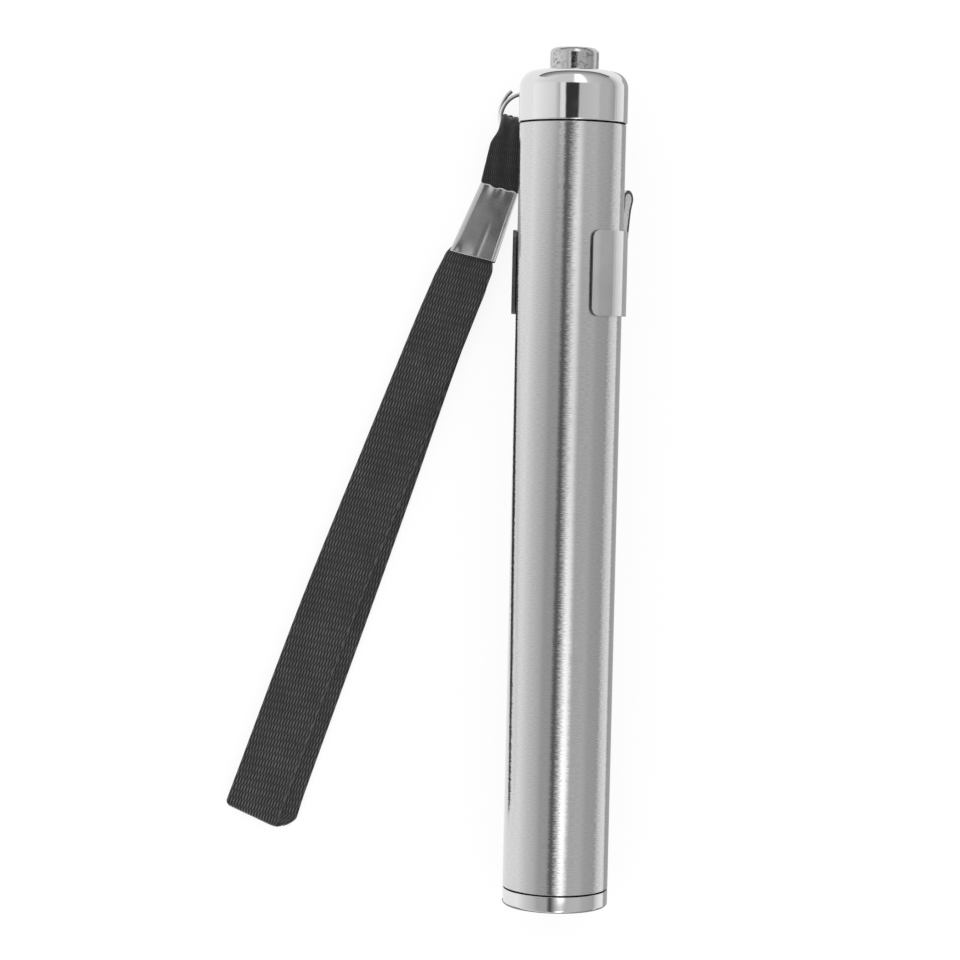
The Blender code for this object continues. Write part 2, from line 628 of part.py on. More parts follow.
def make_button(button, tail, mats):
    """The push button with its keeper flange, the plunger under it and the spring that lifts it."""
    flange_end = BUTTON_START + FLANGE_THICKNESS
    outline = [(0.0, BUTTON_START), (FLANGE_R, BUTTON_START)]
    outline += [(FLANGE_R, flange_end), (BUTTON_R, flange_end)]
    outline += arc(BUTTON_R - BUTTON_ROUND, BUTTON_END - BUTTON_ROUND, BUTTON_ROUND, 0.0, 90.0)
    outline.append((0.0, BUTTON_END))
    add_mesh("push_button", lathe(outline), button, mats["polished"])
    plunger = disc(PLUNGER_DIAMETER / 2, PLUNGER_START, PLUNGER_END)
    add_mesh("switch_plunger", plunger, button, mats["black_plastic"])
    reach = RETURN_SPRING_WIRE / 2 + PLAY
    coil("button_return_spring", Vector((0.0, 0.0, 0.0)), 0.0, (RETURN_SPRING_RADIUS, RETURN_SPRING_RADIUS),
         (SWITCH_END + reach, BUTTON_START - reach), RETURN_SPRING_TURNS, RETURN_SPRING_WIRE, CURL_STEPS,
         tail, mats["spring"])


def clip_point(across, along, depth):
    """Bend the flat strip: across and along on its inner face, depth through the sheet.

    The strip rises from the collar, turns over in the hairpin and comes down as the arm, which leans
    in to the barrel and flares out at its tip.
    """
    curve = 0.0
    if along < HAIRPIN_START:
        flat = min(1.0, max(0.0, (along - COLLAR_LENGTH) / CLIP_LEG))
        curve = (1.0 - flat * flat * (3.0 - 2.0 * flat)) / COLLAR_R
    side, out, z = across, COLLAR_R + depth, COLLAR_START + along
    if curve * COLLAR_R > PLAY:
        side = (1.0 / curve + depth) * math.sin(curve * across)
        out = COLLAR_R + (1.0 / curve + depth) * math.cos(curve * across) - 1.0 / curve
    if along > HAIRPIN_START:
        turn = min((along - HAIRPIN_START) / HAIRPIN_MID, math.pi + ARM_LEAN)
        swing = HAIRPIN_RADIUS + CLIP_SHEET - depth
        out = HAIRPIN_R - swing * math.cos(turn)
        z = HAIRPIN_Z + swing * math.sin(turn)
        run = min(max(along - ARM_START, 0.0), ARM_LENGTH)
        out -= run * math.sin(ARM_LEAN)
        z -= run * math.cos(ARM_LEAN)
        bend = max(along - FLARE_START, 0.0) / FLARE_RADIUS - ARM_LEAN
        reach = FLARE_RADIUS + depth
        out += reach * (math.cos(ARM_LEAN) - math.cos(bend))
        z -= reach * (math.sin(ARM_LEAN) + math.sin(bend))
    outward = round_point(1.0, CLIP_ANGLE, 0.0)
    sideways = Vector((math.cos(CLIP_ANGLE), math.sin(CLIP_ANGLE), 0.0))
    return outward * out + sideways * side + Vector((0.0, 0.0, z))


def corner_inset(distance, corner):
    """How far a round corner draws an edge in, at this distance from the end."""
    if distance >= corner:
        return 0.0
    return corner - math.sqrt(max(0.0, corner ** 2 - (corner - distance) ** 2))


def make_clip(clip, arm, steel):
    """The sprung collar with the first half of the hairpin, and the sprung arm with the second half."""
    half = COLLAR_HALF_WRAP * COLLAR_R
    leg = CLIP_WIDTH / 2
    wedges = math.ceil((half - leg) / (WEDGE * COLLAR_R))
    side_columns = [leg + (half - COLLAR_CORNER - leg) * i / wedges for i in range(wedges + 1)]
    side_columns += [half - COLLAR_CORNER * share for share in CORNER_SHARES]
    middle = [leg * i / 4 for i in range(-3, 4)]
    columns = [-c for c in reversed(side_columns)] + middle + side_columns
    rows = [0.0, COLLAR_LENGTH] + [COLLAR_LENGTH + CLIP_LEG * i / 5 for i in range(1, 6)]
    last = HAIRPIN_APEX - CLIP_SPLIT / 2
    rows += [HAIRPIN_START + (last - HAIRPIN_START) * i / 5 for i in range(1, 6)]

    def collar_place(key, depth):
        across, along = columns[key[0]], rows[key[1]]
        inset = corner_inset(half - abs(across), COLLAR_CORNER)
        if key[1] == 0:
            along += inset
        if key[1] == 1:
            along -= inset
        return clip_point(across, along, depth)

    cells = []
    for i in range(len(columns) - 1):
        inside = max(abs(columns[i]), abs(columns[i + 1])) <= leg + PLAY / 10
        for j in range(len(rows) - 1 if inside else 1):
            cells.append(((i, j), (i + 1, j), (i + 1, j + 1), (i, j + 1)))
    add_mesh("clip_collar", sheet_solid(cells, collar_place, CLIP_SHEET), clip, steel)

    first = HAIRPIN_APEX + CLIP_SPLIT / 2
    stations = [first + (ARM_START - first) * i / 6 for i in range(7)]
    stations += [ARM_START + ARM_LENGTH * i / 4 for i in range(1, 5)]
    flare_end = ARM_END - ARM_TIP_CORNER
    stations += [FLARE_START + (flare_end - FLARE_START) * i / 3 for i in range(1, 4)]
    stations += [ARM_END - ARM_TIP_CORNER * share for share in CORNER_SHARES]

    def arm_place(key, depth):
        along = stations[key[1]]
        taper = max(0.0, along - ARM_START) / (ARM_END - ARM_START)
        reach = (CLIP_WIDTH + (ARM_TIP_WIDTH - CLIP_WIDTH) * taper) / 2
        reach -= corner_inset(ARM_END - along, ARM_TIP_CORNER)
        return clip_point(reach * (key[0] - 1), along, depth)

    cells = []
    for i in range(2):
        for j in range(len(stations) - 1):
            cells.append(((i, j), (i + 1, j), (i + 1, j + 1), (i, j + 1)))
    add_mesh("clip_arm", sheet_solid(cells, arm_place, CLIP_SHEET), arm, steel)


def make_lanyard_plate(torch, steel):
    """A washer under the cap with an ear that stands out through the barrel's notch."""
    outer = REBATE_R - PLAY - SEAT_GAP
    bore = BUSH_BORE_R - SEAT_GAP
    root = math.asin(EAR_RADIUS / outer)
    outline = []
    for i in range(ROUND + 1):
        angle = EAR_ANGLE + root + (math.tau - 2 * root) * i / ROUND
        outline.append(round_point(outer, angle, 0.0).xy)
    middle = round_point(EAR_R, EAR_ANGLE, 0.0).xy
    for i in range(EAR_STEPS + 1):
        angle = EAR_ANGLE - math.pi / 2 + math.pi * i / EAR_STEPS
        outline.append(middle + round_point(EAR_RADIUS, angle, 0.0).xy)
    inside = [round_point(bore, math.tau * i / ROUND, 0.0).xy for i in range(ROUND)]
    turns = [math.tau * i / HOLE_STEPS for i in range(HOLE_STEPS)]
    hole = [middle + round_point(EAR_HOLE / 2, turn, 0.0).xy for turn in turns]
    plate = flat_plate([outline, inside, hole], PLATE_START, PLATE_START + EAR_PLATE)
    add_mesh("lanyard_plate", plate, torch, steel)


def run_samples(layer):
    """One layer of the route: points on a smooth line, the web's widths and directions across it."""
    stops = []
    for heights, width, *plan in ROUTE:
        spot = Vector(plan[layer]) * MM + RING_CENTRE.xy
        stops.append((Vector((*spot, heights[layer])), width))
    last = len(stops) - 1
    points, widths = [], []
    for i in range(last):
        before, one, two, after = (stops[min(max(k, 0), last)][0] for k in range(i - 1, i + 3))
        start, end, rise = (two - before) / 2, (after - one) / 2, two - one
        for step in range(STRAP_STEPS + (i == last - 1)):
            t = step / STRAP_STEPS
            ease = t * t * (3.0 - 2.0 * t)
            point = one + start * t + (3 * rise - 2 * start - end) * t ** 2
            point += (start + end - 2 * rise) * t ** 3
            point.z = one.z + rise.z * ease
            points.append(point)
            widths.append(stops[i][1] + (stops[i + 1][1] - stops[i][1]) * ease)
    samples = []
    for i, point in enumerate(points):
        ahead = points[min(i + 1, len(points) - 1)] - points[max(i - 1, 0)]
        samples.append((point, widths[i], Vector((ahead.y, -ahead.x, 0.0)).normalized()))
    return samples


def fold_samples(above, below, out):
    """Samples of a half round fold from the end of one layer to the other, bulging along out."""
    samples = []
    for i in range(1, FOLD_STEPS):
        angle = math.pi * i / FOLD_STEPS
        middle = above[0].lerp(below[0], (1.0 - math.cos(angle)) / 2)
        bulge = (above[0].z - below[0].z) / 2 * math.sin(angle)
        across = above[2].lerp(below[2], i / FOLD_STEPS).normalized()
        samples.append((middle + out * bulge, above[1], across))
    return samples


def make_strap(strap, webbing, steel):
    """One closed loop of flat webbing, nipped by a crimped ferrule into a small and a large loop."""
    above, below = run_samples(UPPER), run_samples(LOWER)
    leave = (above[1][0] - above[0][0]).normalized()
    arrive = (above[-1][0] - above[-2][0]).normalized()
    loop = above + fold_samples(above[-1], below[-1], arrive)
    loop += list(reversed(below)) + list(reversed(fold_samples(above[0], below[0], -leave)))
    count = len(loop)

    def place(key, depth):
        point, width, across = loop[key[1]]
        ahead = loop[(key[1] + 1) % count][0] - loop[key[1] - 1][0]
        normal = ahead.cross(across).normalized()
        return point + across * width * (key[0] / 2 - 0.5) + normal * (STRAP_THICKNESS / 2 - depth)

    cells = []
    for i in range(2):
        for j in range(count):
            k = (j + 1) % count
            cells.append(((i, j), (i + 1, j), (i + 1, k), (i, k)))
    add_mesh("wrist_strap", sheet_solid(cells, place, STRAP_THICKNESS), strap, webbing)

    start = RING_CENTRE.xy + Vector(FERRULE_START) * MM
    end = RING_CENTRE.xy + Vector(FERRULE_END) * MM
    across = Vector((end.y - start.y, start.x - end.x)).normalized()

    def ferrule_place(key, depth):
        angle = math.tau * (key[0] + 0.5) / FERRULE_STEPS
        round_part = Vector((math.cos(angle), math.sin(angle))) * (FERRULE_CORNER - depth)
        side = math.copysign(FERRULE_WIDTH / 2 - FERRULE_CORNER, round_part.x) + round_part.x
        rise = math.copysign(FERRULE_HEIGHT / 2 - FERRULE_CORNER, round_part.y) + round_part.y
        spot = start.lerp(end, key[1]) + across * side
        return Vector((spot.x, spot.y, FERRULE_Z + rise))

    cells = []
    for i in range(FERRULE_STEPS):
        j = (i + 1) % FERRULE_STEPS
        cells.append(((i, 0), (j, 0), (j, 1), (i, 1)))
    add_mesh("strap_ferrule", sheet_solid(cells, ferrule_place, FERRULE_WALL), strap, steel)


def make_finishes():
    return {
        "brushed": material("brushed_steel", (0.62, 0.62, 0.62), 0.32, 1.0),
        "polished": material("polished_steel", (0.72, 0.72, 0.72), 0.12, 1.0),
        "spring": material("spring_steel", (0.60, 0.60, 0.61), 0.25, 1.0),
        "brass": material("brass", (0.75, 0.58, 0.28), 0.3, 1.0),
        "aluminium": material("aluminium", (0.70, 0.70, 0.71), 0.35, 1.0),
        "mirror": material("mirror_coat", (0.90, 0.90, 0.90), 0.05, 1.0),
        "glass": material("clear_lens", (0.95, 0.97, 0.98), 0.03, 0.0, 0.35),
        "phosphor": material("lamp_phosphor", (0.90, 0.80, 0.30), 0.4),
        "board": material("circuit_board", (0.85, 0.86, 0.84), 0.5),
        "rubber": material("black_rubber", (0.02, 0.02, 0.02), 0.7),
        "black_plastic": material("black_plastic", (0.03, 0.03, 0.03), 0.45),
        "grey_plastic": material("grey_plastic", (0.30, 0.30, 0.31), 0.5),
        "wrapper": material("cell_wrapper", (0.12, 0.20, 0.24), 0.4),
        "webbing": material("black_webbing", (0.025, 0.025, 0.026), 0.85),
    }


def build():
    clear_scene()
    mats = make_finishes()
    torch = bpy.data.objects.new("torch_axis", None)
    bpy.context.scene.collection.objects.link(torch)
    torch.matrix_world = TORCH_TO_ROW
    axis = pivot("barrel_axis", torch, (0.0, 0.0, 0.0))
    tail = pivot("tail_thread_axis", torch, (0.0, 0.0, SHOULDER))
    button = pivot("button_axis", torch, (0.0, 0.0, BUTTON_START))
    clip = pivot("clip_slide_axis", torch, (0.0, 0.0, COLLAR_START))
    hairpin = pivot("clip_hairpin_axis", torch, round_point(HAIRPIN_R, CLIP_ANGLE, HAIRPIN_Z))
    ring = pivot("ring_hole_axis", None, EAR_POINT)
    strap = pivot("strap_swing_axis", None, STRAP_PIVOT)

    make_barrel(axis, mats["brushed"], mats["grey_plastic"])
    make_head(axis, mats)
    make_cells(axis, mats["wrapper"])
    make_lanyard_plate(axis, mats["spring"])
    make_tail_cap(tail, mats)
    make_switch(tail, mats)
    make_button(button, tail, mats)
    make_clip(clip, hairpin, mats["spring"])
    coil("split_ring", RING_CENTRE, RING_CUT_ANGLE, (RING_RADIUS, RING_RADIUS),
         (-RING_HALF_RISE, RING_HALF_RISE), RING_TURNS, RING_WIRE, RING_STEPS, ring, mats["spring"])
    make_strap(strap, mats["webbing"], mats["spring"])


build()
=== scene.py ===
"""Looks of the pen-style egg candler on a pale table: finer shapes, finishes, light and camera.

Torch pieces are drawn in the torch's own frame, as in the CAD source: z = 0 at the light end, z rising
to the tail button, and angles round the barrel from the side that faces up, growing towards +X.
"""
import json
import math

import bmesh
import bpy
from mathutils import Matrix, Vector


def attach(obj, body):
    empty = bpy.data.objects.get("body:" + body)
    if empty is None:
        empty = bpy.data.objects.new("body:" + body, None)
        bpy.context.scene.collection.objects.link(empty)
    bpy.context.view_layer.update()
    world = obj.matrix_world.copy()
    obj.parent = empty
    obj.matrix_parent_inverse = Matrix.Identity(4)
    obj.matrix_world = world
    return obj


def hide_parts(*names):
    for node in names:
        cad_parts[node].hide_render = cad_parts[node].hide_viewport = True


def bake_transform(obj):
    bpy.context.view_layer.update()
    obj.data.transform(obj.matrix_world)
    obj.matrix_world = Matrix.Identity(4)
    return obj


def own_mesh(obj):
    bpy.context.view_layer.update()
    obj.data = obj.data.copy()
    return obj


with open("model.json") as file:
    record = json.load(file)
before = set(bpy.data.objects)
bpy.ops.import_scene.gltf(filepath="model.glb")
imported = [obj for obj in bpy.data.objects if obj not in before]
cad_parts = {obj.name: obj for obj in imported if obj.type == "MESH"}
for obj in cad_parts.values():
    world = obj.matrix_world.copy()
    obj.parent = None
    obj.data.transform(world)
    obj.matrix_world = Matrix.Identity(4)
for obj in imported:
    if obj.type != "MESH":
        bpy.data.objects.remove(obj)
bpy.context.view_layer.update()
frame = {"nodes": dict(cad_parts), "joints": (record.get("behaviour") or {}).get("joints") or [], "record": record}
JOINTS = {joint["name"]: joint for joint in frame["joints"]}

MM = 0.001

# Torch, as in the CAD source apart from softer edges and a lip that nearly fills the seam at the cap
TUBE_R = 7.25 * MM
BORE_R = 6.35 * MM
TUBE_START = 2.5 * MM
TUBE_END = 107.0 * MM
REBATE_R = 6.75 * MM
REBATE_FLOOR = 106.4 * MM
TUBE_EDGE = 0.09 * MM
TUBE_LIP = 0.14 * MM

BEZEL_LENGTH = 2.3 * MM
BEZEL_END = 6.0 * MM
BEZEL_LIP = 0.75 * MM
BEZEL_OPENING_R = 5.0 * MM
BEZEL_NECK_R = 6.25 * MM
BEZEL_BORE_R = 5.85 * MM
BEZEL_ROUND = 0.45 * MM
OPTIC_R = 5.75 * MM
LENS_START = 1.3 * MM
LENS_END = 2.5 * MM
LENS_BEVEL = 0.15 * MM
CUP_START = 2.6 * MM
CUP_END = 7.6 * MM
CUP_THROAT_R = 1.75 * MM
CUP_WALL = 0.4 * MM
LAMP_R = 1.45 * MM
LAMP_BASE = 0.6 * MM

SHOULDER = 107.35 * MM
CAP_R = 7.4 * MM
CAP_END = 114.35 * MM
CAP_FILLET = 2.3 * MM
CAP_ROOF = 113.15 * MM
CAP_BORE_R = 4.35 * MM
CAP_EDGE = 0.14 * MM
BOSS_R = 6.0 * MM
BOSS_HEIGHT = 0.32 * MM
NECK_R = 5.0 * MM
NECK_END = 101.75 * MM
NECK_LEAD = 0.3 * MM
GROOVE_R = 4.85 * MM
GROOVE_END = 106.23 * MM
THREAD_CREST_R = 5.45 * MM
THREAD_PITCH = 1.25 * MM
THREAD_TURNS = 2.5
THREAD_FOOT = 0.9 * MM
THREAD_CREST = 0.2 * MM
THREAD_RUN_OUT = 0.125
THREAD_END = 0.3
BUTTON_R = 3.325 * MM
BUTTON_HOLE_R = 3.445 * MM
BUTTON_START = 111.95 * MM
BUTTON_END = 117.45 * MM
BUTTON_ROUND = 0.7 * MM
FLANGE_R = 4.1 * MM
FLANGE_END = 113.05 * MM
INSIDE_SHARE = 0.9
SWITCH_END = 109.2 * MM
COIL_RADIUS = 3.0 * MM
COIL_WIRE = 0.4 * MM
COIL_TURNS = 2.25
COIL_PLAY = 0.1 * MM

# Lanyard ear's notch in the barrel
EAR_ANGLE = math.radians(202.5)
EAR_R = 9.18 * MM
NOTCH_HALF = 2.45 * MM

# Pocket clip
CLIP_SHEET = 0.5 * MM
CLIP_ANGLE = math.radians(145.9)
COLLAR_R = 7.35 * MM
COLLAR_START = 81.2 * MM
COLLAR_LENGTH = 11.5 * MM
COLLAR_HALF_WRAP = math.radians(124.2)
COLLAR_CORNER = 1.0 * MM
CLIP_LEG = 4.65 * MM
CLIP_WIDTH = 7.75 * MM
HAIRPIN_RADIUS = 0.8 * MM
ARM_LENGTH = 32.0 * MM
ARM_TIP_WIDTH = 5.0 * MM
ARM_TIP_CORNER = 1.6 * MM
ARM_GRIP_GAP = 0.35 * MM
FLARE_RADIUS = 10.0 * MM
FLARE_ANGLE = math.radians(15.0)
SHEET_EDGE = 0.12 * MM
HAIRPIN_R = COLLAR_R + CLIP_SHEET + HAIRPIN_RADIUS
HAIRPIN_Z = COLLAR_START + COLLAR_LENGTH + CLIP_LEG
HAIRPIN_MID = HAIRPIN_RADIUS + CLIP_SHEET / 2
HAIRPIN_START = COLLAR_LENGTH + CLIP_LEG
ARM_LEAN = math.asin((HAIRPIN_R + HAIRPIN_RADIUS - TUBE_R - ARM_GRIP_GAP) / ARM_LENGTH)
ARM_START = HAIRPIN_START + HAIRPIN_MID * (math.pi + ARM_LEAN)
FLARE_START = ARM_START + ARM_LENGTH
ARM_END = FLARE_START + FLARE_RADIUS * (FLARE_ANGLE + ARM_LEAN)

# Split ring, strap and ferrule
RING_RADIUS = 3.4 * MM
RING_WIRE = 0.56 * MM
RING_RISE = 1.843 * MM
RING_TURNS = 1.9
RING_CUT_ANGLE = math.radians(118.0)
RING_SPRING = 0.9 * MM
RING_SPRING_TURNS = 0.3
RING_NIP = 0.12
WIRE_CUT = 0.8
SWING_OFFSET = Vector((-1.2, -0.5, 0.0)) * MM
WEB_THICKNESS = 0.9 * MM
WEB_WIDTH = 7.75 * MM
WEB_EDGE = 0.4 * MM
WEB_EDGE_SHARE = 0.25
WEB_COLUMNS = 19
WEB_PITCH = 1.05 * MM
WEB_SKEW = math.tan(math.radians(9.0))
WEB_RELIEF = 0.07 * MM
FLOAT_WIDTH = 0.27
FLOAT_LENGTH = 0.66
WEB_DROOP = 0.2 * MM
WEB_DROOP_WIDTH = 1.2 * MM
WEB_RIPPLE = 0.3 * MM
WEB_RIPPLES = 2.5
WEB_RIPPLE_LENGTH = 2.2 * MM
FOLD_SLANT = math.tan(math.radians(6.0))
FOLD_SLANT_REACH = 8.0 * MM
FOLD_CREASE = 1.7 * MM
FOLD_CREASE_WIDTH = 0.35 * MM
FOLD_CREASE_DEPTH = 0.1 * MM
# Ferrule's corners as seen from above: upper right and left, lower right and left, from the ring's centre
FERRULE_CORNERS = [Vector(corner) * MM for corner in ((-0.78, -10.62), (-5.98, -9.06), (-3.8, -20.18),
                                                      (-10.09, -18.63))]
FERRULE_HEIGHT = 3.4 * MM
FERRULE_WALL = 0.35 * MM
FERRULE_CORNER = 0.6 * MM
FERRULE_ROLL = math.tan(math.radians(5.0))
FERRULE_RIM = 0.12 * MM
FERRULE_LUMP = 0.06 * MM
LUMP_WAVES, LUMP_BEATS, LUMP_LENGTH, LUMP_FADE = 7.0, 3.0, 3.0, 12
CREASE_SIDE, CREASE_WIDTH, CREASE_DEPTH = -0.5 * MM, 0.25 * MM, 0.02 * MM
CREASE_START, CREASE_RUN = 0.45, 0.25
DENT_SIDE, DENT_WIDTH, DENT_DEPTH, DENT_RUN = 1.7 * MM, 0.9 * MM, 0.2 * MM, 0.1
TABLE_GAP = 0.05 * MM

# Fineness
ROUND = 160
ARC_STEPS = 10
ARC_LEAD = 0.05 * MM
SHARP_ANGLE = math.radians(32.0)
NEARLY_FLAT = 0.0001
EDGE_STEPS, CAP_EDGE_STEPS, FILLET_STEPS, CORNER_STEPS = 4, 5, 24, 8
WRAP_STEPS, COLLAR_STEPS, LEG_STEPS, LEG_COLUMNS = 24, 6, 10, 8
BEND_STEPS, ARM_STEPS, FLARE_STEPS = 24, 24, 6
COIL_STEPS, RING_STEPS, WIRE_SIDES = 48, 64, 12
ROUTE_STEPS, ROUTE_SPAN, FOLD_STEPS = 16, 4, 8
WEB_ROW_STEPS, WEB_COLUMN_STEPS = 5, 4
FERRULE_ROWS, FERRULE_FLATS = 48, (40, 8)
TENT_STEPS = 60

AXIS = Vector(JOINTS["tail_cap_lift"]["axis"]).normalized()
LEAN = math.atan2(AXIS.z, AXIS.y)
LAID_DOWN = Matrix.Rotation(LEAN - math.pi / 2, 4, "X")
TAIL = Matrix.Translation(JOINTS["tail_cap_turn"]["pos_m"])
TORCH = TAIL @ LAID_DOWN @ Matrix.Translation((0.0, 0.0, -SHOULDER))
RING_CENTRE = Vector(JOINTS["strap_swing"]["pos_m"]) - SWING_OFFSET

# The strap's route from the ring to the far fold, close to that in the CAD source: height of the upper and
# lower layer's middle, width of the web, and plan position in millimetres from the ring's centre, the upper
# layer's and, where it differs, the lower layer's.
LOOP_RADIUS = 1.7015 * MM
AT_RING = (RING_CENTRE.z + LOOP_RADIUS, RING_CENTRE.z - LOOP_RADIUS)
IN_FERRULE = (2.35 * MM, 1.15 * MM)
ON_TABLE = (1.75 * MM, 0.55 * MM)
ROUTE = (
    (AT_RING, 4.0, (-1.7, -2.0)),
    (AT_RING, 5.3, (-2.3, -4.6)),
    (IN_FERRULE, 5.5, (-3.2, -9.0)),
    (IN_FERRULE, 4.7, (-3.8, -11.4)),
    (IN_FERRULE, 5.0, (-5.14, -14.9)),
    (IN_FERRULE, 5.6, (-6.6, -18.2)),
    (IN_FERRULE, 7.0, (-7.6, -20.6), (-7.5, -20.6)),
    (IN_FERRULE, 7.5, (-8.75, -23.6), (-8.8, -23.6)),
    (ON_TABLE, 7.7, (-11.85, -31.5)),
    (ON_TABLE, 7.75, (-19.9, -52.6), (-18.75, -52.6)),
    (ON_TABLE, 7.75, (-26.25, -69.4), (-24.3, -69.4)),
    (ON_TABLE, 7.75, (-35.1, -94.7), (-32.5, -93.8)),
    (ON_TABLE, 7.75, (-36.15, -97.7), (-33.5, -97.2)),
)
UPPER, LOWER = 0, 1


# Lines of the brushed and turned steel, round the torch and along it, and how far brushing tilts the surface
GRAINS_PER_TURN = 60.0
LINES_PER_TURN = 12.0
LINES_PER_METRE = 9000.0
GRAIN_TILT = 0.15


class Finish:
    """A Principled material with short calls for the nodes that pattern it."""

    def __init__(self, name, colour, roughness, metallic=0.0, others=None):
        self.mat = bpy.data.materials.new(name)
        self.mat.use_nodes = True
        self.tree = self.mat.node_tree
        self.shader = self.tree.nodes["Principled BSDF"]
        self.paint({"Base Color": (*colour, 1.0), "Roughness": roughness, "Metallic": metallic})
        self.paint(others or {})

    def feed(self, node, values):
        """Set a node's sockets, from numbers or from other nodes' outputs."""
        for key, value in values.items():
            if isinstance(value, bpy.types.NodeSocket):
                self.tree.links.new(value, node.inputs[key])
            else:
                node.inputs[key].default_value = value

    def node(self, kind, values, **settings):
        node = self.tree.nodes.new("ShaderNode" + kind)
        for key, value in settings.items():
            setattr(node, key, value)
        self.feed(node, values)
        return node

    def math(self, operation, one, two=0.0):
        return self.node("Math", {0: one, 1: two}, operation=operation).outputs[0]

    def vector_math(self, operation, values):
        return self.node("VectorMath", values, operation=operation).outputs[0]

    def object_coords(self):
        return self.node("TexCoord", {}).outputs["Object"]

    def stretched(self, vector, scale):
        return self.node("Mapping", {"Vector": vector, "Scale": scale}).outputs[0]

    def round_coords(self, per_turn, per_metre):
        """Coordinates that run round the torch's axis and along it."""
        parts = self.node("SeparateXYZ", {0: self.object_coords()}).outputs
        angle = self.math("ARCTAN2", parts["X"], self.math("MULTIPLY", parts["Y"], -1.0))
        turn = self.math("MULTIPLY", angle, per_turn / math.tau)
        along = self.math("MULTIPLY", parts["Z"], per_metre)
        return self.node("CombineXYZ", {0: turn, 1: along}).outputs[0]

    def noise(self, scale, detail=2.0, roughness=0.5, vector=None):
        """Noise in the object's own coordinates, or in those of a vector."""
        if vector is None:
            vector = self.object_coords()
        values = {"Vector": vector, "Scale": scale, "Detail": detail, "Roughness": roughness}
        return self.node("TexNoise", values).outputs[0]

    def spread(self, factor, low, high, first=0.3, last=0.7):
        """Map a factor's middle range to a range of values."""
        values = {"Value": factor, "From Min": first, "From Max": last, "To Min": low, "To Max": high}
        return self.node("MapRange", values).outputs[0]

    def tint(self, factor, dark, light, first=0.3, last=0.7):
        ramp = self.node("ValToRGB", {0: factor})
        for stop, place, colour in zip(ramp.color_ramp.elements, (first, last), (dark, light)):
            stop.position = place
            stop.color = (*colour, 1.0)
        return ramp.outputs[0]

    def paint(self, values):
        self.feed(self.shader, values)
        return self.mat

    def bump(self, height, strength, distance):
        return self.node("Bump", {"Height": height, "Strength": strength, "Distance": distance}).outputs[0]


def grey(value):
    return (value, value, value)


def brushed_steel():
    """Steel brushed round the barrel: short fine grains that differ in tone, gloss and tilt."""
    finish = Finish("brushed_steel", grey(0.64), 0.2, 1.0, {"Anisotropic": 0.9, "Anisotropic Rotation": 0.25})
    fine = finish.noise(1.0, 1.0, vector=finish.round_coords(GRAINS_PER_TURN, LINES_PER_METRE))
    tangent = finish.node("Tangent", {}, direction_type="RADIAL", axis="Z").outputs[0]
    tilt = finish.math("MULTIPLY", finish.math("SUBTRACT", fine, 0.5), GRAIN_TILT)
    lean = finish.vector_math("SCALE", {0: tangent, "Scale": tilt})
    straight = finish.node("NewGeometry", {}).outputs["Normal"]
    tilted = finish.vector_math("ADD", {0: straight, 1: lean})
    normal = finish.vector_math("NORMALIZE", {0: tilted})
    return finish.paint({
        "Base Color": finish.tint(fine, grey(0.59), grey(0.69)),
        "Roughness": finish.spread(fine, 0.17, 0.21),
        "Normal": normal,
        "Tangent": tangent,
    })


def polished_steel():
    """Bright turned and buffed steel with faint lathe lines and a little waviness."""
    finish = Finish("polished_steel", grey(0.74), 0.07, 1.0)
    lines = finish.noise(1.0, vector=finish.round_coords(LINES_PER_TURN, LINES_PER_METRE))
    wave = finish.noise(260.0, 1.0)
    return finish.paint({
        "Base Color": finish.tint(lines, grey(0.73), grey(0.75)),
        "Roughness": finish.spread(lines, 0.05, 0.08),
        "Normal": finish.bump(wave, 0.35, 0.00012),
    })


def worn_button():
    """The thumbed button: polished steel with dull, pitted patches."""
    finish = Finish("worn_button", grey(0.54), 0.14, 1.0)
    pits = finish.noise(2600.0, 3.0, 0.65)
    pitted = finish.spread(pits, 0.0, 1.0, 0.5, 0.6)
    dull = finish.math("MULTIPLY", pitted, finish.spread(finish.noise(480.0), 0.1, 1.0, 0.4, 0.6))
    return finish.paint({
        "Base Color": finish.tint(dull, grey(0.55), grey(0.26), 0.1, 0.9),
        "Roughness": finish.spread(dull, 0.09, 0.4, 0.0, 1.0),
        "Normal": finish.bump(pits, 0.25, 0.00006),
    })


def spring_steel():
    """Cold rolled strip and wire: smooth, with faint drawn scratches and softer patches."""
    finish = Finish("spring_steel", grey(0.7), 0.16, 1.0)
    drawn = finish.stretched(finish.object_coords(), (6.0, 6.0, 0.25))
    scratch = finish.noise(900.0, 3.0, 0.6, drawn)
    patch = finish.noise(220.0)
    return finish.paint({
        "Base Color": finish.tint(patch, grey(0.66), grey(0.74)),
        "Roughness": finish.spread(scratch, 0.06, 0.11),
        "Normal": finish.bump(patch, 0.08, 0.00008),
    })


def ring_steel():
    """Split ring wire, painted bright on its outer side and dark on its inner side as painted reflection and
    shade, with faint random patches.
    """
    finish = Finish("ring_steel", grey(0.7), 0.15, 1.0)
    coords = finish.node("TexCoord", {}).outputs
    offset = finish.vector_math("SUBTRACT", {0: coords["Object"], 1: RING_CENTRE})
    level = finish.vector_math("MULTIPLY", {0: offset, 1: (1.0, 1.0, 0.0)})
    sides = {0: finish.vector_math("NORMALIZE", {0: level}), 1: coords["Normal"]}
    facing = finish.node("VectorMath", sides, operation="DOT_PRODUCT").outputs["Value"]
    patch = finish.noise(900.0)
    # Bright where the wire faces outwards, dark where it faces the ring's middle: painted reflection and shade,
    # plus faint random patches.
    painted_shade_and_patches = finish.math("ADD", finish.spread(facing, 0.0, 1.0, -0.5, 0.6), finish.spread(patch, -0.1, 0.1))
    return finish.paint({
        "Base Color": finish.tint(painted_shade_and_patches, grey(0.1), grey(0.85), 0.0, 1.0),
        "Roughness": finish.spread(patch, 0.12, 0.2),
    })


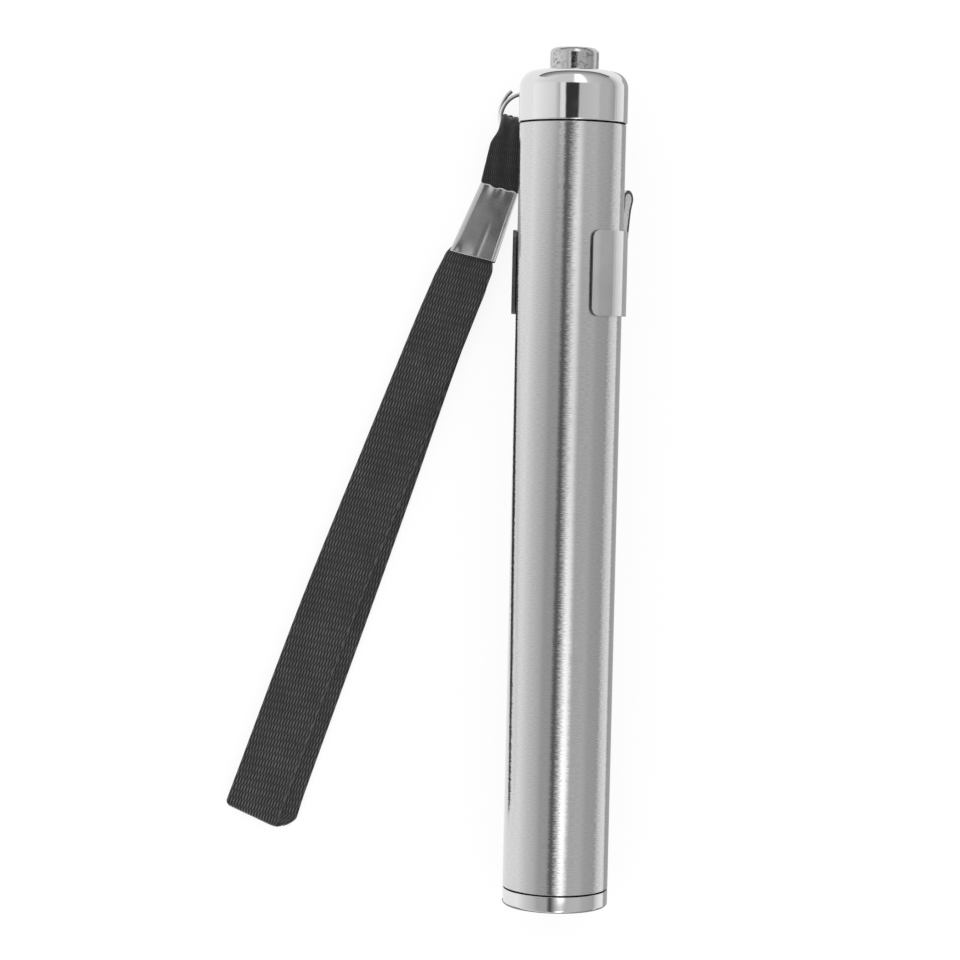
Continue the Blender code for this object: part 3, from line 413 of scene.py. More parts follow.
def plated_ferrule():
    """Thin nickel-plated sleeve, a little dulled and wavy from the crimping tool."""
    finish = Finish("plated_ferrule", grey(0.6), 0.2, 1.0)
    cloud = finish.noise(300.0, 2.0, 0.45)
    return finish.paint({
        "Base Color": finish.tint(cloud, grey(0.585), grey(0.615)),
        "Roughness": finish.spread(cloud, 0.17, 0.22),
        "Normal": finish.bump(cloud, 0.06, 0.0002),
    })


def black_webbing():
    """Black polyester web: slim, slightly shiny floats in staggered rows, lighter on their crests and near-black
    between them as painted highlight and shade, with painted shade at the edges and at the gathered end.
    """
    finish = Finish("black_webbing", grey(0.02), 0.5, others={"Sheen Weight": 0.06, "Sheen Roughness": 0.4})
    weave = finish.node("UVMap", {}, uv_map="weave").outputs[0]
    parts = finish.node("SeparateXYZ", {0: weave}).outputs
    aside, along = finish.math("PINGPONG", parts["X"], 0.5), finish.math("PINGPONG", parts["Y"], 1.0)
    floats = []
    between = (finish.math("SUBTRACT", 0.5, aside), finish.math("SUBTRACT", 1.0, along))
    for one, two in ((aside, along), between):
        wide = finish.math("POWER", finish.math("DIVIDE", one, FLOAT_WIDTH), 2.0)
        long = finish.math("POWER", finish.math("DIVIDE", two, FLOAT_LENGTH), 2.0)
        floats.append(finish.math("SUBTRACT", 1.0, finish.math("ADD", wide, long)))
    crest = finish.math("MAXIMUM", *floats)
    yarn = finish.noise(1.0, 3.0, 0.6, finish.stretched(weave, (5.0, 0.8, 1.0)))
    patch = finish.spread(finish.noise(260.0), 0.75, 1.2)
    wear_and_painted_shade = finish.math("MULTIPLY", finish.spread(yarn, 0.5, 1.5), patch)
    # Float crests lighter, near-black between the floats: painted highlight on the crests and painted shade in the
    # gaps.
    colour = finish.tint(crest, grey(0.0045), grey(0.08), 0.02, 0.72)
    # Darker towards both edges of the web: painted shade.
    painted_edge_shade = finish.spread(finish.math("PINGPONG", parts["X"], WEB_COLUMNS / 2), 0.5, 1.0, 0.2, 0.8)
    # Darker over the first rows from the ring end, where the web gathers round the ring and into the ferrule:
    # painted shade.
    painted_gather_shade = finish.spread(parts["Y"], 0.3, 1.0, 8.0, 22.0)
    wear_and_painted_shade = finish.math("MULTIPLY", wear_and_painted_shade, finish.math("MULTIPLY", painted_edge_shade, painted_gather_shade))
    return finish.paint({
        "Base Color": finish.vector_math("SCALE", {0: colour, "Scale": wear_and_painted_shade}),
        "Roughness": finish.spread(yarn, 0.36, 0.55),
        "Normal": finish.bump(yarn, 0.3, 0.00005),
    })


def clear_lens():
    finish = Finish("clear_lens", (0.97, 0.98, 0.99), 0.02, others={"Transmission Weight": 1.0, "IOR": 1.49})
    haze = finish.noise(500.0)
    return finish.paint({"Roughness": finish.spread(haze, 0.01, 0.05)})


def mirror_coat():
    finish = Finish("mirror_coat", grey(0.88), 0.08, 1.0)
    peel = finish.noise(900.0)
    return finish.paint({
        "Roughness": finish.spread(peel, 0.05, 0.12),
        "Normal": finish.bump(peel, 0.25, 0.00006),
    })


def lamp_phosphor():
    coat = {"Coat Weight": 0.6, "Coat Roughness": 0.05}
    finish = Finish("lamp_phosphor", (0.85, 0.68, 0.16), 0.25, others=coat)
    grain = finish.noise(5200.0)
    return finish.paint({"Base Color": finish.tint(grain, (0.78, 0.56, 0.10), (0.92, 0.78, 0.26))})


def mottled(name, dark, light, roughness, metallic=0.0, scale=700.0):
    """A plain finish for inner pieces: fine mottling in tone, gloss and surface."""
    finish = Finish(name, light, roughness, metallic)
    grain = finish.noise(scale, 3.0)
    return finish.paint({
        "Base Color": finish.tint(grain, dark, light),
        "Roughness": finish.spread(grain, roughness * 0.8, roughness * 1.2),
        "Normal": finish.bump(grain, 0.2, 0.00005),
    })


# Plain finishes of inner pieces: name, dark and light tone, roughness, metal and fineness of the mottling
MOTTLED = (
    ("brass", (0.68, 0.50, 0.22), (0.80, 0.63, 0.32), 0.28, 1.0),
    ("aluminium", grey(0.64), grey(0.74), 0.35, 1.0, 1500.0),
    ("circuit_board", (0.80, 0.81, 0.79), (0.88, 0.89, 0.87), 0.5),
    ("oiled_steel", grey(0.05), grey(0.09), 0.45, 1.0),
    # Near-white non-metal on the clip's upper face past the collar: painted light.
    ("pale_painted_light", grey(0.84), grey(0.90), 0.4),
    # The clip's cut edges: duller steel, painted dark as shade.
    ("dull_shaded_edge", grey(0.10), grey(0.16), 0.4, 1.0, 2500.0),
    ("black_rubber", grey(0.015), grey(0.028), 0.7),
    ("black_plastic", grey(0.022), grey(0.038), 0.45, 0.0, 1800.0),
    ("grey_plastic", grey(0.26), grey(0.33), 0.5),
    ("cell_wrapper", (0.10, 0.18, 0.21), (0.14, 0.22, 0.26), 0.35),
)
PATTERNED = (brushed_steel, polished_steel, spring_steel, ring_steel, worn_button, plated_ferrule,
             black_webbing, clear_lens, mirror_coat, lamp_phosphor)
FINISHES = {maker.__name__: maker() for maker in PATTERNED}
FINISHES.update({name: mottled(name, *values) for name, *values in MOTTLED})


def round_point(radius, angle, z):
    return Vector((radius * math.sin(angle), -radius * math.cos(angle), z))


def arc(radius, z, size, start, end, steps=ARC_STEPS, lead=ARC_LEAD):
    """Points of an outline's round edge between two angles in degrees, with a short flat at each end."""
    angles = [math.radians(start + (end - start) * i / steps) for i in range(steps + 1)]
    points = [(radius + size * math.cos(angle), z + size * math.sin(angle)) for angle in angles]
    if lead:
        way = math.copysign(lead, end - start)
        (r_in, z_in), (r_out, z_out) = points[0], points[-1]
        points.insert(0, (r_in + way * math.sin(angles[0]), z_in - way * math.cos(angles[0])))
        points.append((r_out - way * math.sin(angles[-1]), z_out + way * math.cos(angles[-1])))
    return points


def lathe(outline, segments=ROUND):
    """Spin a closed outline of radius and z points about the torch's axis."""
    bm = bmesh.new()
    rings = []
    for radius, z in outline:
        count = segments if radius > MM / 1000 else 1
        rings.append([bm.verts.new(round_point(radius, math.tau * i / count, z)) for i in range(count)])
    for ring, following in zip(rings, rings[1:] + rings[:1]):
        for i in range(segments):
            j = (i + 1) % segments
            corners = (ring[i % len(ring)], ring[j % len(ring)],
                       following[j % len(following)], following[i % len(following)])
            corners = list(dict.fromkeys(corners))
            if len(corners) > 2:
                bm.faces.new(corners)
    return bm


def bridge(bm, rings, ends=True):
    """Skin a row of rings of one size and, if asked, close its ends."""
    size = len(rings[0])
    for one, two in zip(rings, rings[1:]):
        for i in range(size):
            k = (i + 1) % size
            bm.faces.new((one[i], one[k], two[k], two[i]))
    if ends:
        bm.faces.new(reversed(rings[0]))
        bm.faces.new(rings[-1])


def add_object(name, data):
    obj = bpy.data.objects.new(name, data)
    bpy.context.scene.collection.objects.link(obj)
    return obj


def add_mesh(name, bm):
    mesh = bpy.data.meshes.new(name)
    bm.to_mesh(mesh)
    bm.free()
    return add_object(name, mesh)


def add_piece(name, bm, finish, body, *nodes, place=Matrix.Identity(4)):
    """Store a mesh as a piece that stands for CAD nodes and, if a body is named, rides on it."""
    bmesh.ops.recalc_face_normals(bm, faces=bm.faces)
    obj = add_mesh(name, bm)
    obj.data.shade_smooth()
    obj.data.set_sharp_from_angle(angle=SHARP_ANGLE)
    obj.data.materials.append(FINISHES[finish])
    obj.matrix_world = place
    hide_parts(*nodes)
    if body:
        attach(obj, body)
    return obj


def line_inside(piece, radius, low, high):
    """Give the faces nearer to the axis than a radius, between two heights, a near-black finish."""
    piece.data.materials.append(FINISHES["oiled_steel"])
    for face in piece.data.polygons:
        if face.center.xy.length < radius and low < face.center.z < high:
            face.material_index = 1


def make_barrel():
    """The brushed tube with its notch, and the light end's ring, lens, cup and lamp."""
    edge = TUBE_EDGE
    outline = [(BORE_R, TUBE_START + edge), (BORE_R + edge, TUBE_START)]
    outline += arc(TUBE_R - edge, TUBE_START + edge, edge, -90.0, 0.0, EDGE_STEPS)
    outline += [(TUBE_R, TUBE_START + 2 * edge), (TUBE_R, REBATE_FLOOR - NOTCH_HALF)]
    outline += arc(TUBE_R - edge, TUBE_END + TUBE_LIP - edge, edge, 0.0, 90.0, EDGE_STEPS)
    outline += [(REBATE_R, TUBE_END + TUBE_LIP), (REBATE_R, REBATE_FLOOR), (BORE_R, REBATE_FLOOR)]
    tube = lathe(outline)
    middle = round_point(EAR_R, EAR_ANGLE, TUBE_END)
    notch_size = (2 * NOTCH_HALF, 2 * (EAR_R - BORE_R), 2 * (TUBE_END - REBATE_FLOOR))
    box = bmesh.new()
    turned = Matrix.Translation(middle) @ Matrix.Rotation(EAR_ANGLE, 4, "Z")
    bmesh.ops.create_cube(box, size=1.0, matrix=turned @ Matrix.Diagonal((*notch_size, 1.0)))
    cutter = add_mesh("ear_notch", box)
    barrel = add_piece("barrel_tube", tube, "brushed_steel", None, "body_tube")
    cut = barrel.modifiers.new("ear_notch", "BOOLEAN")
    cut.object = cutter
    cut.solver = "EXACT"
    bpy.context.view_layer.update()
    whole = barrel.evaluated_get(bpy.context.evaluated_depsgraph_get())
    mesh = bpy.data.meshes.new_from_object(whole)
    barrel.modifiers.clear()
    barrel.data = mesh
    bpy.data.objects.remove(cutter)
    line_inside(barrel, TUBE_R - INSIDE_SHARE * edge, 0.0, CAP_END)
    barrel.matrix_world = TORCH
    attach(barrel, "barrel")

    rim = BEZEL_ROUND / 2
    bezel = arc(BEZEL_OPENING_R + rim, rim, rim, 180.0, 270.0, EDGE_STEPS)
    bezel += arc(TUBE_R - BEZEL_ROUND, BEZEL_ROUND, BEZEL_ROUND, -90.0, 0.0)
    bezel += arc(TUBE_R - edge, BEZEL_LENGTH - edge, edge, 0.0, 90.0, EDGE_STEPS)
    bezel += [(BEZEL_NECK_R, BEZEL_LENGTH), (BEZEL_NECK_R, BEZEL_END), (BEZEL_BORE_R, BEZEL_END)]
    bezel += [(BEZEL_BORE_R, BEZEL_LIP), (BEZEL_OPENING_R, BEZEL_LIP)]
    ring = add_piece("head_ring", lathe(bezel), "polished_steel", "barrel", "head_bezel", place=TORCH)
    line_inside(ring, TUBE_R - INSIDE_SHARE * edge, BEZEL_LENGTH - edge / 4, BEZEL_END + edge)

    bevel = LENS_BEVEL
    lens = [(0.0, LENS_START), (OPTIC_R - bevel, LENS_START), (OPTIC_R, LENS_START + bevel)]
    lens += [(OPTIC_R, LENS_END - bevel), (OPTIC_R - bevel, LENS_END), (0.0, LENS_END)]
    add_piece("lens_disc", lathe(lens), "clear_lens", "barrel", "lens", place=TORCH)

    cup = []
    steps = 2 * ARC_STEPS
    for i in range(steps + 1):
        depth = i / steps
        radius = CUP_THROAT_R + (OPTIC_R - CUP_WALL - CUP_THROAT_R) * math.sqrt(1.0 - depth)
        cup.append((radius, CUP_START + (CUP_END - CUP_START) * depth))
    shell = [(radius + CUP_WALL, z) for radius, z in reversed(cup)]
    add_piece("reflector_cup", lathe(cup + shell), "mirror_coat", "barrel", "reflector", place=TORCH)

    lamp = arc(0.0, CUP_END - LAMP_BASE, LAMP_R, -90.0, 0.0, lead=0.0)
    lamp[0] = (0.0, lamp[0][1])
    lamp += [(LAMP_R, CUP_END), (0.0, CUP_END)]
    add_piece("lamp_dome", lathe(lamp, ROUND // 2), "lamp_phosphor", "barrel", "led_emitter", place=TORCH)


def add_thread(bm):
    """A helical ridge on the cap's neck, its ends run out to nothing."""
    steps = round(THREAD_TURNS * ROUND / 2)
    low = NECK_END + (GROOVE_END - NECK_END - THREAD_PITCH * THREAD_TURNS) / 2
    sections = []
    for i in range(steps + 1):
        turn = THREAD_TURNS * i / steps
        ease = min(1.0, min(i, steps - i) / steps / THREAD_RUN_OUT)
        foot = NECK_R - (THREAD_CREST_R - NECK_R) / 3
        crest = foot + (THREAD_CREST_R - foot) * (THREAD_END + (1.0 - THREAD_END) * ease)
        shape = ((foot, -THREAD_FOOT / 2), (crest, -THREAD_CREST / 2), (crest, THREAD_CREST / 2),
                 (foot, THREAD_FOOT / 2))
        z = low + THREAD_PITCH * turn
        sections.append([bm.verts.new(round_point(r, math.tau * turn, z + rise)) for r, rise in shape])
    bridge(bm, sections)


def make_tail():
    """The domed cap with its threaded neck, and the push button."""
    edge = CAP_EDGE
    cap = [(CAP_BORE_R, NECK_END), (CAP_BORE_R, CAP_ROOF), (BUTTON_HOLE_R, CAP_ROOF)]
    cap += arc(BUTTON_HOLE_R + edge, CAP_END - edge, edge, 180.0, 90.0, CAP_EDGE_STEPS)
    cap += arc(CAP_R - CAP_FILLET, CAP_END - CAP_FILLET, CAP_FILLET, 90.0, 0.0, FILLET_STEPS)
    cap += arc(CAP_R - edge, SHOULDER + edge, edge, 0.0, -90.0, CAP_EDGE_STEPS)
    cap += [(BOSS_R, SHOULDER), (BOSS_R, SHOULDER - BOSS_HEIGHT), (GROOVE_R, SHOULDER - BOSS_HEIGHT)]
    cap += [(GROOVE_R, GROOVE_END), (NECK_R, GROOVE_END), (NECK_R, NECK_END + NECK_LEAD)]
    cap += [(NECK_R - NECK_LEAD, NECK_END)]
    shell = lathe(cap)
    add_thread(shell)
    cap = add_piece("cap_shell", shell, "polished_steel", "cap", "tail_cap", place=TORCH)
    line_inside(cap, CAP_R - INSIDE_SHARE * edge, GROOVE_END, SHOULDER + edge / 4)

    button = [(0.0, BUTTON_START), (FLANGE_R, BUTTON_START), (FLANGE_R, FLANGE_END), (BUTTON_R, FLANGE_END)]
    button += arc(BUTTON_R - BUTTON_ROUND, BUTTON_END - BUTTON_ROUND, BUTTON_ROUND, 0.0, 90.0)
    button.append((0.0, BUTTON_END))
    add_piece("button_knob", lathe(button, ROUND // 2 + ROUND // 4), "worn_button", "button", "push_button",
              place=TORCH)


def smooth(share):
    return share * share * (3.0 - 2.0 * share)


def clip_point(across, along, depth):
    """Bend the flat strip: collar, hairpin and leaning, flared arm, as in the CAD source."""
    curve = 0.0
    if along < HAIRPIN_START:
        flat = min(1.0, max(0.0, (along - COLLAR_LENGTH) / CLIP_LEG))
        curve = (1.0 - smooth(flat)) / COLLAR_R
    side, out, z = across, COLLAR_R + depth, COLLAR_START + along
    if curve * COLLAR_R > NEARLY_FLAT:
        side = (1.0 / curve + depth) * math.sin(curve * across)
        out = COLLAR_R + (1.0 / curve + depth) * math.cos(curve * across) - 1.0 / curve
    if along > HAIRPIN_START:
        turn = min((along - HAIRPIN_START) / HAIRPIN_MID, math.pi + ARM_LEAN)
        swing = HAIRPIN_RADIUS + CLIP_SHEET - depth
        out = HAIRPIN_R - swing * math.cos(turn)
        z = HAIRPIN_Z + swing * math.sin(turn)
        run = min(max(along - ARM_START, 0.0), ARM_LENGTH)
        out -= run * math.sin(ARM_LEAN)
        z -= run * math.cos(ARM_LEAN)
        bend = max(along - FLARE_START, 0.0) / FLARE_RADIUS - ARM_LEAN
        reach = FLARE_RADIUS + depth
        out += reach * (math.cos(ARM_LEAN) - math.cos(bend))
        z -= reach * (math.sin(ARM_LEAN) + math.sin(bend))
    outward = round_point(1.0, CLIP_ANGLE, 0.0)
    sideways = Vector((math.cos(CLIP_ANGLE), math.sin(CLIP_ANGLE), 0.0))
    return outward * out + sideways * side + Vector((0.0, 0.0, z))


def corner_inset(distance, corner):
    """How far a round corner draws an edge in, at this distance from the end."""
    if distance >= corner:
        return 0.0
    return corner - math.sqrt(max(0.0, corner ** 2 - (corner - distance) ** 2))


def evenly(start, end, steps):
    return [start + (end - start) * i / steps for i in range(1, steps + 1)]


def make_clip():
    """The whole clip as one strip of sheet with softened edges, bent round at its hairpin."""
    half = COLLAR_HALF_WRAP * COLLAR_R
    leg = CLIP_WIDTH / 2
    turns = [math.pi / 2 * i / CORNER_STEPS for i in range(CORNER_STEPS + 1)]
    corner = [half - COLLAR_CORNER * math.cos(turn) for turn in turns[:-1]] + [half]
    right = evenly(leg, corner[0], WRAP_STEPS)[:-1] + corner
    middle = [leg * i / LEG_COLUMNS for i in range(-LEG_COLUMNS, LEG_COLUMNS + 1)]
    columns = [-c for c in reversed(right)] + middle + right
    first, last = len(right), len(right) + len(middle) - 1
    rows = [0.0]
    for end, steps in ((COLLAR_LENGTH, COLLAR_STEPS), (HAIRPIN_START, LEG_STEPS), (ARM_START, BEND_STEPS),
                       (FLARE_START, ARM_STEPS), (ARM_END - ARM_TIP_CORNER, FLARE_STEPS)):
        rows += evenly(rows[-1], end, steps)
    tip_start = rows[-1]
    rows += [tip_start + ARM_TIP_CORNER * math.sin(turn) for turn in turns[1:]]

    def place(key, depth):
        across, along = columns[key[0]], rows[key[1]]
        if key[1] <= COLLAR_STEPS:
            inset = corner_inset(half - abs(across), COLLAR_CORNER)
            along = inset + (COLLAR_LENGTH - 2 * inset) * key[1] / COLLAR_STEPS
        taper = max(0.0, along - ARM_START) / (ARM_END - ARM_START)
        if taper > 0.0:
            reach = (CLIP_WIDTH + (ARM_TIP_WIDTH - CLIP_WIDTH) * math.sqrt(taper)) / 2
            reach -= corner_inset(ARM_END - along, ARM_TIP_CORNER)
            across *= reach / leg
        return clip_point(across, along, depth)

    bm = bmesh.new()
    lower, upper, uses = {}, {}, {}
    for i in range(len(columns) - 1):
        for j in range(len(rows) - 1 if first <= i < last else COLLAR_STEPS):
            cell = ((i, j), (i + 1, j), (i + 1, j + 1), (i, j + 1))
            for key in cell:
                if key not in lower:
                    lower[key] = bm.verts.new(place(key, 0.0))
                    upper[key] = bm.verts.new(place(key, CLIP_SHEET))
            bm.faces.new([lower[key] for key in reversed(cell)])
            # Past the collar, the sheet's upper face takes a near-white, non-metal finish: painted light that
            # brightens the shaded leg, hairpin and arm.
            bm.faces.new([upper[key] for key in cell]).material_index = 0 if j < COLLAR_STEPS else 2
            for k, key in enumerate(cell):
                edge = (key, cell[(k + 1) % 4])
                uses[frozenset(edge)] = uses.get(frozenset(edge), []) + [edge]
    # The sheet's cut edges take a dark finish: a duller cut edge, darkened further as painted shade of the gap
    # round the clip.
    rims = []
    for found in uses.values():
        if len(found) == 1:
            a, b = found[0]
            bm.faces.new((lower[a], lower[b], upper[b], upper[a])).material_index = 1
            rims += [bm.edges.get((side[a], side[b])) for side in (lower, upper)]
    bmesh.ops.bevel(bm, geom=rims, offset=SHEET_EDGE, segments=2, profile=0.5,
                    affect="EDGES", clamp_overlap=True, material=0)
    clip = add_piece("pocket_clip_strip", bm, "spring_steel", None, "clip_collar", "clip_arm", place=TORCH)
    clip.data.set_sharp_from_angle(angle=SHARP_ANGLE / 2)
    clip.data.materials.append(FINISHES["dull_shaded_edge"])
    clip.data.materials.append(FINISHES["pale_painted_light"])
    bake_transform(clip)


def add_tube(bm, points, radius):
    """A round wire along points, with softened cut ends."""
    rings = []
    for i, point in enumerate(points):
        ahead = (points[min(i + 1, len(points) - 1)] - points[max(i - 1, 0)]).normalized()
        side = ahead.cross(Vector((0.0, 0.0, 1.0))).normalized()
        rise = side.cross(ahead)
        size = radius * (WIRE_CUT if i in (0, len(points) - 1) else 1.0)
        turns = [math.tau * k / WIRE_SIDES for k in range(WIRE_SIDES)]
        rings.append([bm.verts.new(point + (side * math.cos(t) + rise * math.sin(t)) * size) for t in turns])
    bridge(bm, rings)


def make_coil():
    """The spring under the button, at one fixed length."""
    steps = round(COIL_TURNS * COIL_STEPS)
    start, room = SWITCH_END + COIL_PLAY + COIL_WIRE / 2, BUTTON_START - SWITCH_END
    points = []
    for i in range(steps + 1):
        angle = math.tau * COIL_TURNS * i / steps
        z = start + (room - 2 * COIL_PLAY - COIL_WIRE) * i / steps
        points.append(Vector((COIL_RADIUS * math.cos(angle), COIL_RADIUS * math.sin(angle), z)))
    bm = bmesh.new()
    add_tube(bm, points, COIL_WIRE / 2)
    coil = add_piece("return_coil", bm, "spring_steel", "cap", "button_return_spring", place=TORCH)
    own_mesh(coil)


def make_ring():
    """The split ring: nearly two turns of wire, its lower cut end sprung outwards."""
    steps = round(RING_TURNS * RING_STEPS)
    points = []
    for i in range(steps + 1):
        part = i / steps
        turns = RING_TURNS * part
        spring = max(0.0, 1.0 - turns / RING_SPRING_TURNS)
        radius = RING_RADIUS + RING_SPRING * spring * spring
        angle = RING_CUT_ANGLE + math.tau * turns
        z = RING_RISE * (part - 0.5)
        points.append(RING_CENTRE + Vector((radius * math.cos(angle), radius * math.sin(angle), z)))
    bm = bmesh.new()
    nip = RING_WIRE * RING_NIP
    first = points[0] + (points[0] - points[1]).normalized() * nip
    final = points[-1] + (points[-1] - points[-2]).normalized() * nip
    add_tube(bm, [first] + points + [final], RING_WIRE / 2)
    add_piece("ring_wire", bm, "ring_steel", "ring", "split_ring")


def route_line(layer):
    """One layer of the route as points on a smooth line, with the web's width at each."""
    stops = []
    for heights, width, *plan in ROUTE:
        spot = Vector(plan[min(layer, len(plan) - 1)]) * MM + RING_CENTRE.xy
        stops.append((Vector((*spot, heights[layer])), width * MM))
    last = len(stops) - 1
    leads = []
    for i in range(last + 1):
        near = [stops[k][0].xy for k in range(max(i - 1, 0), min(i + 1, last) + 1)]
        leads.append((near[-1] - near[0]) / sum((two - one).length for one, two in zip(near, near[1:])))
    line = []
    for i in range(last):
        (one, wide), (two, wider) = stops[i:i + 2]
        rise = two - one
        start, end = (lead.to_3d() * rise.xy.length for lead in leads[i:i + 2])
        for step in range(ROUTE_STEPS + (i == last - 1)):
            t = step / ROUTE_STEPS
            ease = smooth(t)
            point = one + start * t + (3 * rise - 2 * start - end) * t ** 2
            point += (start + end - 2 * rise) * t ** 3
            point.z = one.z + rise.z * ease
            line.append((point, wide + (wider - wide) * ease))
    placed = []
    for i, (point, width) in enumerate(line):
        flat = line[min(i + ROUTE_SPAN, len(line) - 1)][0] - line[max(i - ROUTE_SPAN, 0)][0]
        placed.append((point, width, Vector((flat.y, -flat.x, 0.0)).normalized()))
    return placed


def half_fold(mine, other, out):
    """The first half of a round fold that leads from the end of one layer to the other."""
    points = []
    for i in range(1, FOLD_STEPS + 1):
        angle = math.pi / 2 * i / FOLD_STEPS
        share = (1.0 - math.cos(angle)) / 2
        bulge = abs(mine[0].z - other[0].z) / 2 * math.sin(angle)
        points.append((mine[0].lerp(other[0], share) + out * bulge, mine[1], mine[2].lerp(other[2], share)))
    return points


def web_run(layer):
    """Evenly spaced samples of one layer with half of both folds: point, width, along, across, up."""
    lines = (route_line(UPPER), route_line(LOWER))
    mine, other = lines[layer], lines[1 - layer]
    leave = (lines[UPPER][0][0] - lines[UPPER][1][0]).normalized()
    arrive = (lines[UPPER][-1][0] - lines[UPPER][-2][0]).normalized()
    line = list(reversed(half_fold(mine[0], other[0], leave))) + mine
    line += half_fold(mine[-1], other[-1], arrive)
    reach = [0.0]
    for one, two in zip(line, line[1:]):
        reach.append(reach[-1] + (two[0] - one[0]).length)
    count = round(reach[-1] / WEB_PITCH * WEB_ROW_STEPS)
    samples, k = [], 0
    for i in range(count + 1):
        along = reach[-1] * i / count
        while k < len(line) - 2 and reach[k + 1] < along:
            k += 1
        part = (along - reach[k]) / (reach[k + 1] - reach[k])
        point, across = line[k][0].lerp(line[k + 1][0], part), line[k][2].lerp(line[k + 1][2], part)
        samples.append((point, line[k][1] + (line[k + 1][1] - line[k][1]) * part, along, across))
    placed = []
    for i, (point, width, along, across) in enumerate(samples):
        ahead = samples[min(i + 1, count)][0] - samples[max(i - 1, 0)][0]
        up = across.cross(ahead).normalized()
        slant = FOLD_SLANT * max(0.0, 1.0 - (reach[-1] - along) / FOLD_SLANT_REACH)
        placed.append((point, width, along, across.normalized() - arrive * slant, up))
    return placed


def float_height(column, row):
    """Height of the weave, 0 to 1: slim rounded floats in rows, staggered by half between rows."""
    aside, along = abs((column + 0.5) % 1.0 - 0.5), abs((row + 1.0) % 2.0 - 1.0)
    one = 1.0 - (aside / FLOAT_WIDTH) ** 2 - (along / FLOAT_LENGTH) ** 2
    two = 1.0 - ((0.5 - aside) / FLOAT_WIDTH) ** 2 - ((1.0 - along) / FLOAT_LENGTH) ** 2
    return math.sqrt(max(0.0, one, two))


def make_web(name, layer):
    """One layer of the strap as a woven tube of flat section, from fold to fold."""
    samples = web_run(layer)
    count = WEB_COLUMNS * WEB_COLUMN_STEPS
    bm = bmesh.new()
    uv = bm.loops.layers.uv.new("weave")
    marks = {}
    rings = []
    for point, width, along, across, up in samples:
        bunch = 1.0 - min(1.0, width / WEB_WIDTH)
        ring = []
        for face in (1.0, -1.0):
            for i in range(count + 1):
                share = (i if face > 0 else count - i) / count
                column = share * WEB_COLUMNS
                side = width * (share - 0.5)
                row = (along - side * WEB_SKEW) / WEB_PITCH
                from_edge = min(share, 1.0 - share) * width
                thick = WEB_THICKNESS / 2 - WEB_RELIEF
                if from_edge < WEB_EDGE:
                    full = math.sqrt(1.0 - (1.0 - from_edge / WEB_EDGE) ** 2)
                    thick *= WEB_EDGE_SHARE + (1.0 - WEB_EDGE_SHARE) * full
                rise = thick + WEB_RELIEF * float_height(column, row)
                wave = math.tau * WEB_RIPPLES * share + along / WEB_RIPPLE_LENGTH
                bend = WEB_RIPPLE * bunch * math.sin(wave)
                if layer == UPPER:
                    from_crease = samples[-1][2] - along - FOLD_CREASE
                    bend -= FOLD_CREASE_DEPTH * math.exp(-(from_crease / FOLD_CREASE_WIDTH) ** 2)
                    bend -= WEB_DROOP * (1.0 - bunch) * max(0.0, 1.0 - share * width / WEB_DROOP_WIDTH) ** 2
                vert = bm.verts.new(point + across * side + up * (face * rise + bend))
                marks[vert] = (column, row)
                ring.append(vert)
        rings.append(ring)
    bridge(bm, rings)
    for face in bm.faces:
        for loop in face.loops:
            loop[uv].uv = marks[loop.vert]
    web = add_piece(name, bm, "black_webbing", "strap", "wrist_strap")
    web.visible_glossy = False
    return web, [sample[0] for sample in samples]


